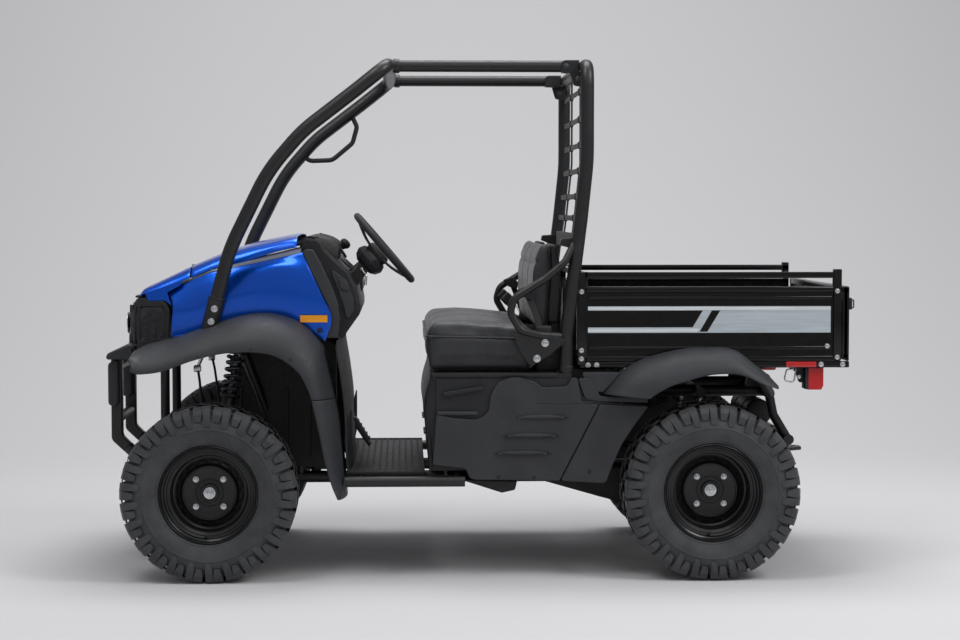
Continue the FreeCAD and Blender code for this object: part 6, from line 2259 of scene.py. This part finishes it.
    def covers(self) -> None:
        """Build the side covers: a base layer in black plastic as painted shade in the recess, the raised
        cover, its rear quarter and louvres.
        """
        under = plate("cover_under", [
            (-0.15, 0.714), (-0.152, 0.598), (-0.158, 0.412), (-0.042, 0.397), (0.28, 0.36), (0.44, 0.352),
            (0.47, 0.42), (0.548, 0.555), (0.596, 0.62), (0.42, 0.632), (0.371, 0.648), (0.349, 0.714)],
            -0.5775, 0.006, 0.001)
        main = plate("cover_main", [
            (-0.151, 0.59, 0.01), (-0.164, 0.41, 0.01), (-0.046, 0.396, 0.02), (-0.034, 0.362, 0.02),
            (-0.013, 0.356, 0.01), (0.287, 0.351, 0.01), (0.427, 0.623, 0.01), (0.366, 0.631, 0.02),
            (0.351, 0.718, 0.012), (0.331, 0.72, 0.014), (0.314, 0.688, 0.02), (0.226, 0.684, 0.025),
            (0.2, 0.706, 0.04), (0.128, 0.7235, 0.06), (0.068, 0.704, 0.05), (0.041, 0.655, 0.04),
            (0.036, 0.596, 0.05), (-0.004, 0.57, 0.05), (-0.09, 0.5765, 0.05)], -0.588, 0.009, 0.0036)
        rear = plate("cover_rear", [
            (0.2915, 0.3505, 0.01), (0.453, 0.341, 0.02), (0.478, 0.408, 0.1), (0.51, 0.479, 0.1),
            (0.556, 0.55, 0.1), (0.608, 0.6175, 0.008), (0.432, 0.6225, 0.01)], -0.5872, 0.008, 0.003)
        # Black plastic on the base layer is painted shade: the recess round the latch bar is coloured darker
        # than the cover's dark plastic.
        dressed(both("side_cover_backs", [under]), BLACK_PLASTIC, Body.ROOT)
        layers = [main, rear]
        for start, end, z in ((0.121, 0.322, 0.578), (0.085, 0.291, 0.512), (0.052, 0.261, 0.45)):
            layers.append(plate("louvre", self.lens_outline(start, end, 0.019, z), -0.593, 0.017, 0.0078))
        layers.append(block("cover_crease", (0.196, -0.5945, 0.6285), (0.404, -0.59, 0.633), 0.0018))
        layers.append(block("ledge", (-0.148, -0.596, 0.586), (-0.004, -0.578, 0.6), 0.006, 3))
        swell = [(0.0905 * i / 12, 0.0062 * (1 + math.cos(math.pi * i / 12))) for i in range(13)]
        layers.append(turned(
            "cover_dome", [*swell, (0.0905, -0.003), (0.0, -0.003)], (0.132, -0.5923, 0.631), LEFT, 64,
            closed=False))
        upper = plate("quarter_upper", [
            (0.366, 0.737, 0.01), (0.512, 0.737, 0.01), (0.446, 0.666, 0.01), (0.398, 0.664, 0.01)],
            -0.57, 0.012, 0.004)
        step = plate("quarter_step", [
            (0.352, 0.716, 0.01), (0.398, 0.716, 0.01), (0.432, 0.652, 0.01), (0.6, 0.645, 0.01),
            (0.606, 0.628, 0.005), (0.432, 0.632, 0.01), (0.38, 0.64, 0.02)], -0.576, 0.012, 0.003)
        dressed(
            both("side_cover_pair", [*layers, upper, step]), DARK_PLASTIC, Body.ROOT,
            ["side_covers"])

    def cover_fittings(self) -> None:
        """Build the latch bars, the covers' screws and the trays under the floor."""
        bar = plate("latch_bar", [
            (-0.128, 0.668, 0.004), (-0.126, 0.653, 0.004), (0.018, 0.676, 0.004), (0.02, 0.69, 0.004)],
            -0.588, 0.016, 0.003)
        pivot = bolts("latch_pivot", [(-0.116, -0.5915, 0.661)], LEFT, 0.004)
        dressed(both("latch_bars", [bar, pivot]), BLACK_PLASTIC)
        screws = [(0.07, -0.5925, 0.366), (0.198, -0.5925, 0.363), (0.395, -0.5925, 0.384)]
        fastened("cover_screw_pair", screws, 0.0045, BLACK_PLASTIC)
        tray = plate("under_tray", [
            (-0.07, 0.352), (0.14, 0.345), (0.132, 0.312, 0.01), (0.085, 0.302, 0.01)], -0.42, 0.24, 0.004)
        dressed(both("under_trays", [tray]), BLACK_PLASTIC)

    @staticmethod
    def strap(name: str, route: Sequence[Numbers], half: float, across: Numbers, facing: Numbers) -> Piece:
        """Build a flat strap along a route.

        Args:
            name: The strap's name.
            route: The middle of the strap.
            half: Half its width.
            across: The direction of its width.
            facing: Roughly where its face points.

        Returns:
            The strap.
        """
        side = Vector(across).normalized() * half
        return shell(
            name, [[Vector(p) - side, Vector(p) + side] for p in route], 22, 4, 0.0016, facing, 0.0004)

    def belts(self) -> None:
        """Build the lap belts with their retractors, tongues and buckles."""
        straps = [
            self.strap("belt_run", [
                (0.222, -0.548, 0.89), (0.212, -0.546, 0.92), (0.196, -0.54, 0.965), (0.176, -0.53, 1.015)],
                0.011, (0.1, 0.0, 0.05), LEFT),
            self.strap("buckle_stalk", [
                (0.195, -0.15, 0.9), (0.165, -0.15, 0.945), (0.135, -0.15, 0.975)],
                0.013, ACROSS, (-1, 0, 1))]
        dressed(both("belt_straps", straps), BELT)
        hard = [
            block("belt_retractor", (0.205, -0.5565, 0.862), (0.262, -0.522, 0.902), 0.008, 3),
            plate("belt_tongue", [
                (0.136, 1.03, 0.008), (0.16, 1.004, 0.008), (0.196, 0.99, 0.008), (0.202, 1.02, 0.012),
                (0.176, 1.044, 0.012)], -0.533, 0.016, 0.005),
            plate("belt_buckle", [
                (0.098, 0.98, 0.008), (0.124, 1.01, 0.008), (0.16, 0.972, 0.008), (0.134, 0.942, 0.008)],
                -0.15, 0.026, 0.006)]
        dressed(both("belt_hardware", hard), BLACK_PLASTIC)

    def build(self) -> None:
        """Build the bench."""
        self.base()
        self.belly()
        self.covers()
        self.cover_fittings()
        self.cushion()
        self.backrest()
        self.belts()


# ---------------------------------------------------------------- bed


@dataclass
class CargoBed:
    """Tipping cargo bed with its frame, rails, tailgate and lamps, and the fixed flares beside it."""

    front: float = 0.366
    rear: float = 1.304
    half: float = 0.53
    floor: float = 0.771
    top: float = 1.04
    tail: float = 1.358

    def tub(self) -> None:
        """Build the tub: ribbed floor, framed sides with their recess, and the head wall."""
        f, r, h, low, top = self.front, self.rear, self.half, self.floor, self.top
        side = [
            block(
                "side_skin", (f + 0.004, -h + 0.006, low + 0.01), (r - 0.004, -h + 0.01, top - 0.006),
                0.001, 1),
            block(
                "side_inner", (f + 0.006, -h + 0.018, low + 0.01), (r - 0.004, -h + 0.024, top - 0.006),
                0.001, 1),
            block("side_top", (f, -h, top - 0.021), (r, -h + 0.024, top), 0.006, 3),
            block("side_foot", (f, -h, low), (r, -h + 0.024, low + 0.02), 0.004, 3),
            block("side_front", (f, -h, low), (f + 0.026, -h + 0.024, top), 0.004, 3),
            block("side_rear", (r - 0.026, -h, low), (r, -h + 0.024, top), 0.004, 3)]
        side += [
            block("side_swage", (f + 0.03, -h + 0.002, foot), (r - 0.03, -h + 0.01, head), 0.004, 3)
            for foot, head in ((0.812, 0.826), (0.994, 1.006))]
        sheet = block("floor_sheet", (f, -h + 0.002, low), (r, h - 0.002, low + 0.0175), 0.003)
        ribs = [
            block(
                "floor_rib", (f + 0.03, -0.48 + 0.08 * i, low + 0.015),
                (r - 0.01, -0.45 + 0.08 * i, low + 0.0215), 0.0025)
            for i in range(13)]
        head = [block("head_wall", (f + 0.003, -h + 0.01, low + 0.01), (f + 0.0235, h - 0.01, top), 0.004)]
        head += [
            block(
                "head_rib", (f - 0.0005, -0.42 + 0.24 * i, low + 0.03),
                (f + 0.006, -0.36 + 0.24 * i, top - 0.03), 0.003)
            for i in range(4)]
        dressed(joined(
            "bed_tub_panels", [both("bed_sides", side), sheet, *ribs, *head]),
            GLOSS_BLACK, Body.BED, ["bed_tub"])

    def stripes(self) -> None:
        """Lay the plain silver band with its black field and slash along each side."""
        start, end, film = 0.3935, 1.268, 0.0008
        low_y = -self.half + 0.0056
        top_y = low_y - 0.0006
        band = plate("silver_band", oblong(start, end, 0.874, 0.971), low_y, film, 0.0)
        dressed(both("silver_bands", [band]), SILVER_FILM, Body.BED)
        dark = {
            "dark_field": [(start, 0.894), (0.77, 0.894), (0.806, 0.954), (start, 0.954)],
            "dark_slash": [(0.795, 0.878), (0.823, 0.878), (0.869, 0.954), (0.839, 0.954)],
            "dark_edge": oblong(start, end, 0.9695, 0.9725)}
        fields = [plate(name, outline, top_y, film, 0.0) for name, outline in dark.items()]
        dressed(both("dark_fields", fields), GLOSS_BLACK, Body.BED)
        pale = (
            oblong(start, end, 0.956, 0.9675),
            [(start, 0.8765), (0.786, 0.8765), (0.794, 0.8895), (start, 0.8895)])
        lines = [plate("pale_line", outline, top_y, 0.0006, 0.0) for outline in pale]
        dressed(both("pale_lines", lines), PALE_FILM, Body.BED)

    def rails(self) -> None:
        """Build the square top rails on their posts."""
        f, r, h, top = self.front, self.rear, self.half, self.top
        rail_top = top + 0.052
        half = [
            block("side_rail", (f, -h, rail_top - 0.022), (r, -h + 0.022, rail_top), 0.003),
            block("front_post", (f, -h, top + 0.0004), (f + 0.028, -h + 0.022, rail_top + 0.001), 0.003),
            block("rear_post", (r - 0.028, -h, top + 0.0004), (r, -h + 0.022, rail_top + 0.0098), 0.003),
            block(
                "rear_post_outer", (r - 0.026, -h - 0.0035, self.floor + 0.004),
                (r + 0.002, -h + 0.004, rail_top + 0.0098), 0.002),
            block(
                "front_post_outer", (f - 0.01, -h - 0.0035, self.floor - 0.012),
                (f + 0.018, -h + 0.004, rail_top), 0.002)]
        head = block("head_rail", (f, -h, rail_top - 0.022), (f + 0.022, h, rail_top), 0.003)
        dressed(
            joined("bed_rail_tubes", [both("bed_rail_sides", half), head]), GLOSS_BLACK, Body.BED,
            ["bed_top_rails"])
        places = [
            (f + 0.004, -h - 0.0035, 0.782), (f + 0.004, -h - 0.0035, 0.812),
            (r - 0.013, -h - 0.0035, 0.786), (r - 0.014, -h - 0.0035, 1.024),
            (f + 0.004, -h - 0.0035, 1.022), (1.255, -h + 0.001, 0.826)]
        fastened("rail_bolts", places, 0.0062, BRIGHT_ZINC, Body.BED)

    def under_frame(self) -> None:
        """Build the bed's frame under the floor, with its hinge hangers and reflectors."""
        h, low, high = self.half, 0.748, 0.7705
        half = [
            block("bed_sill", (self.front, -h + 0.002, low), (self.tail - 0.022, -h + 0.026, high), 0.003),
            plate("bed_hanger", [
                (1.021, 0.76), (1.021, 0.68, 0.018), (1.069, 0.68, 0.018), (1.069, 0.76)],
                -0.23, 0.012, 0.0015, View.SIDE, [circle(1.045, 0.7, 0.0122, 18)])]
        crosses = [
            block("bed_cross", (x, -h + 0.01, low), (x + 0.04, h - 0.01, high), 0.003)
            for x in (0.386, 0.7, 1.025, 1.244)]
        dressed(
            joined("bed_under_frame", [both("bed_sills", half), *crosses]), GLOSS_BLACK, Body.BED,
            ["bed_frame"])
        reflector = block("reflector", (1.107, -h - 0.0018, 0.75), (1.216, -h + 0.003, 0.7695), 0.0015)
        dressed(both("side_reflectors", [reflector]), RED_LENS, Body.BED)
        places = [
            (1.234, -h + 0.0018, 0.76), (1.312, -h + 0.0018, 0.76), (0.425, -h + 0.0018, 0.759),
            (0.394, -h + 0.0018, 0.759)]
        fastened("sill_bolts", places, 0.0068, BRIGHT_ZINC, Body.BED)

    def gate(self) -> None:
        """Build the tailgate with its pressed panel, hinge and latches."""
        x, h = 1.31, self.half - 0.006
        panel = [
            block("gate_sheet", (x + 0.004, -h, 0.777), (x + 0.022, h, self.top - 0.001), 0.004),
            block("gate_top", (x, -h, self.top - 0.026), (x + 0.026, h, self.top), 0.005, 3),
            block("gate_foot", (x, -h, 0.776), (x + 0.026, h, 0.8), 0.005, 3)]
        panel += [
            block("gate_end", (x, y, 0.778), (x + 0.026, y + 0.03, self.top - 0.002), 0.004)
            for y in (-h, h - 0.03)]
        panel += [
            block(
                "gate_rib", (x + 0.019, -0.47 + 0.325 * i, 0.838), (x + 0.0255, -0.18 + 0.325 * i, 0.846),
                0.003)
            for i in range(3)]
        panel += [
            block("gate_swage", (x + 0.019, -0.47, z), (x + 0.0255, 0.47, z + 0.012), 0.004, 3)
            for z in (0.87, 0.985)]
        panel.append(post("gate_pin", (1.33, -h, 0.777), (1.33, h, 0.777), 0.0058, 0.001, 20))
        dressed(joined("tailgate_panels", panel), GLOSS_BLACK, Body.GATE, ["tailgate"])
        latch = [
            block("latch_body", (1.336, -0.51, 0.955), (1.3495, -0.472, 0.998), 0.004),
            tube("latch_handle", [
                (1.346, -0.502, 0.99), (1.3555, -0.502, 0.99, 0.004), (1.3555, -0.502, 0.962, 0.004),
                (1.346, -0.502, 0.962)], 0.0024, 10)]
        dressed(both("gate_latches", latch), SATIN_BLACK, Body.GATE)

    def lamps(self) -> None:
        """Build the tail lamps with their brackets and the tie-down rings."""
        lens = plate("tail_lens", [
            (1.191, 0.666, 0.004), (1.191, 0.7465), (1.2475, 0.7465), (1.2475, 0.681, 0.006),
            (1.24, 0.666, 0.006)], -0.476, 0.064, 0.003)
        dressed(both("tail_lenses", [lens]), RED_LENS, Body.BED, ["tail_lamps"])
        rim = block("lamp_body", (1.18, -0.51, 0.668), (1.193, -0.442, 0.7462), 0.003)
        stay = plate("lamp_stay", [
            (1.12, 0.7475), (1.196, 0.7475), (1.196, 0.69, 0.01), (1.164, 0.69, 0.01), (1.15, 0.73, 0.01)],
            -0.47, 0.004, 0.001)
        dressed(both("lamp_stays", [rim, stay]), SATIN_BLACK, Body.BED)
        loop = tube("tie_ring", [
            (1.142, -0.49, 0.741), (1.116, -0.492, 0.738, 0.008), (1.106, -0.496, 0.7, 0.012),
            (1.142, -0.496, 0.692, 0.012), (1.15, -0.49, 0.741)], 0.003, 12)
        nut = post("ring_nut", (1.162, -0.484, 0.712), (1.162, -0.492, 0.712), 0.008, 0.001, 6)
        dressed(both("tie_rings", [loop, nut]), BRIGHT_ZINC, Body.BED)

    def flares(self) -> None:
        """Build the rear flares."""
        pairs = (
            ((0.441, 0.662), (0.6, 0.6485)), ((0.497, 0.728), (0.628, 0.668)),
            ((0.568, 0.774), (0.672, 0.692)), ((0.639, 0.799), (0.715, 0.706)),
            ((0.745, 0.82), (0.777, 0.724)), ((0.816, 0.823), (0.822, 0.733)),
            ((0.887, 0.822), (0.88, 0.736)), ((0.93, 0.809), (0.915, 0.733)),
            ((0.977, 0.773), (0.95, 0.723)), ((1.03, 0.732), (1.0, 0.699)),
            ((1.066, 0.694), (1.056, 0.681)))
        flare = swept_flare("rear_flare", pairs, 60, 0.546, 0.665, (0, -1, 1))
        dressed(both("rear_flare_pair", [flare]), DARK_PLASTIC, Body.ROOT, ["rear_flares"])

    def build(self) -> None:
        """Build the bed."""
        self.tub()
        self.stripes()
        self.rails()
        self.under_frame()
        self.gate()
        self.lamps()
        self.flares()


# ---------------------------------------------------------------- studio


@dataclass(frozen=True)
class Lamp:
    """Soft area lamp aimed at the vehicle."""

    name: str
    place: Numbers
    size: float
    power: float
    aim: Numbers = (0.0, 0.0, 0.8)

    def hang(self) -> None:
        """Hang the lamp."""
        data = bpy.data.lights.new(self.name, "AREA")
        data.shape, data.size, data.energy = "DISK", self.size, self.power
        lamp = bpy.data.objects.new(self.name, data)
        lamp.location = self.place
        lamp.rotation_euler = (Vector(self.aim) - Vector(self.place)).to_track_quat("-Z", "Y").to_euler()
        bpy.context.scene.collection.objects.link(lamp)


@dataclass
class Studio:
    """Pale floor that runs up into a backdrop, soft light, and the camera."""

    floor: Colour = srgb(202, 202, 204)
    sky: Colour = srgb(200, 200, 202)
    sky_strength: float = 0.65
    floor_z: float = -0.0006
    reach: float = 30.0
    height: float = 14.0
    curve_start: float = 3.0
    curve_radius: float = 4.0
    eye: Numbers = (-0.269, -8.111, 1.31)
    tilt: float = -2.931
    pan: float = -2.083
    lens: float = 79.8
    lamps: tuple[Lamp, ...] = (
        Lamp("key_lamp", (-2.2, -2.4, 5.6), 2.4, 85), Lamp("fill_lamp", (3.7, -2.7, 4.5), 2.4, 130),
        Lamp("top_lamp", (0.3, 0.6, 5.5), 3.5, 108),
        Lamp("back_lamp", (0.0, 2.4, 7.5), 5.0, 180, (0, 6.5, 1.2)),
        Lamp("front_lamp", (0.6, -6.5, 5.5), 3.5, 40, (0, 0, 0.5)))

    def sweep(self) -> None:
        """Build the floor and the backdrop that it curves up into, clear when seen from behind."""
        turns = [math.radians(degrees) for degrees in range(6, 91, 6)]
        start, low, radius = self.curve_start, self.floor_z, self.curve_radius
        curve = [(start + radius * math.sin(turn), low + radius - radius * math.cos(turn)) for turn in turns]
        profile = [(-self.reach, low), (start, low), *curve, (start + radius, self.height)]
        corners = [(x, y, z) for y, z in profile for x in (-self.reach, self.reach)]
        faces = [(i, i + 1, i + 3, i + 2) for i in range(0, len(corners) - 2, 2)]
        mesh = bpy.data.meshes.new("studio_sweep")
        mesh.from_pydata(corners, [], faces)
        sweep = bpy.data.objects.new("studio_sweep", mesh)
        bpy.context.scene.collection.objects.link(sweep)
        surface = Surface("studio_paper", 0.9, 0.0)
        surface.set(Base_Color=self.floor)
        behind = surface.node("NewGeometry", {}).outputs["Backfacing"]
        clear = surface.node("BsdfTransparent", {}).outputs[0]
        sided = surface.node("MixShader", {0: behind, 1: surface.shader.outputs[0], 2: clear}).outputs[0]
        surface.tree.links.new(sided, surface.tree.nodes["Material Output"].inputs["Surface"])
        mesh.materials.append(surface.material)
        smooth(sweep, 40)

    def light(self) -> None:
        """Set the world's even light and hang the lamps."""
        world = bpy.data.worlds.new("studio_world")
        bpy.context.scene.world = world
        world.use_nodes = True
        back = world.node_tree.nodes["Background"]
        back.inputs["Color"].default_value = (*self.sky, 1)
        back.inputs["Strength"].default_value = self.sky_strength
        for lamp in self.lamps:
            lamp.hang()

    def camera(self) -> None:
        """Place the camera square to the vehicle's left side."""
        data = bpy.data.cameras.new("studio_camera")
        data.lens, data.sensor_width = self.lens, 36
        camera = bpy.data.objects.new("studio_camera", data)
        camera.location = self.eye
        camera.rotation_euler = (math.radians(90 + self.tilt), 0, math.radians(self.pan))
        bpy.context.scene.collection.objects.link(camera)
        bpy.context.scene.camera = camera

    def build(self) -> None:
        """Build the studio."""
        self.sweep()
        self.light()
        self.camera()
        bpy.context.scene.view_settings.view_transform = "Standard"


class Assembly(Protocol):
    """Whatever main can build."""

    def build(self) -> None:
        """Build its pieces."""


def assemblies() -> list[Assembly]:
    """List every assembly in the order they are built."""
    return [
        Bench(), Cage(), Chassis(), FrontGear(), RearGear(), FrontBody(), Cab(), CargoBed(),
        Wheel("front", Body.WHEEL_FRONT_LEFT, Body.WHEEL_FRONT_RIGHT, (-0.954, -0.55, 0.312), 0.229, 0.062),
        Wheel("rear", Body.WHEEL_REAR_LEFT, Body.WHEEL_REAR_RIGHT, (0.831, -0.525, 0.312), 0.279, 0.078),
        Studio()]


def main() -> None:
    """Build every assembly."""
    logging.basicConfig(level=logging.INFO, format="%(message)s")
    for assembly in assemblies():
        assembly.build()
        LOG.info("%s is built, %d objects", type(assembly).__name__, len(bpy.data.objects))
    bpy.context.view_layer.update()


if __name__ == "__main__":
    main()
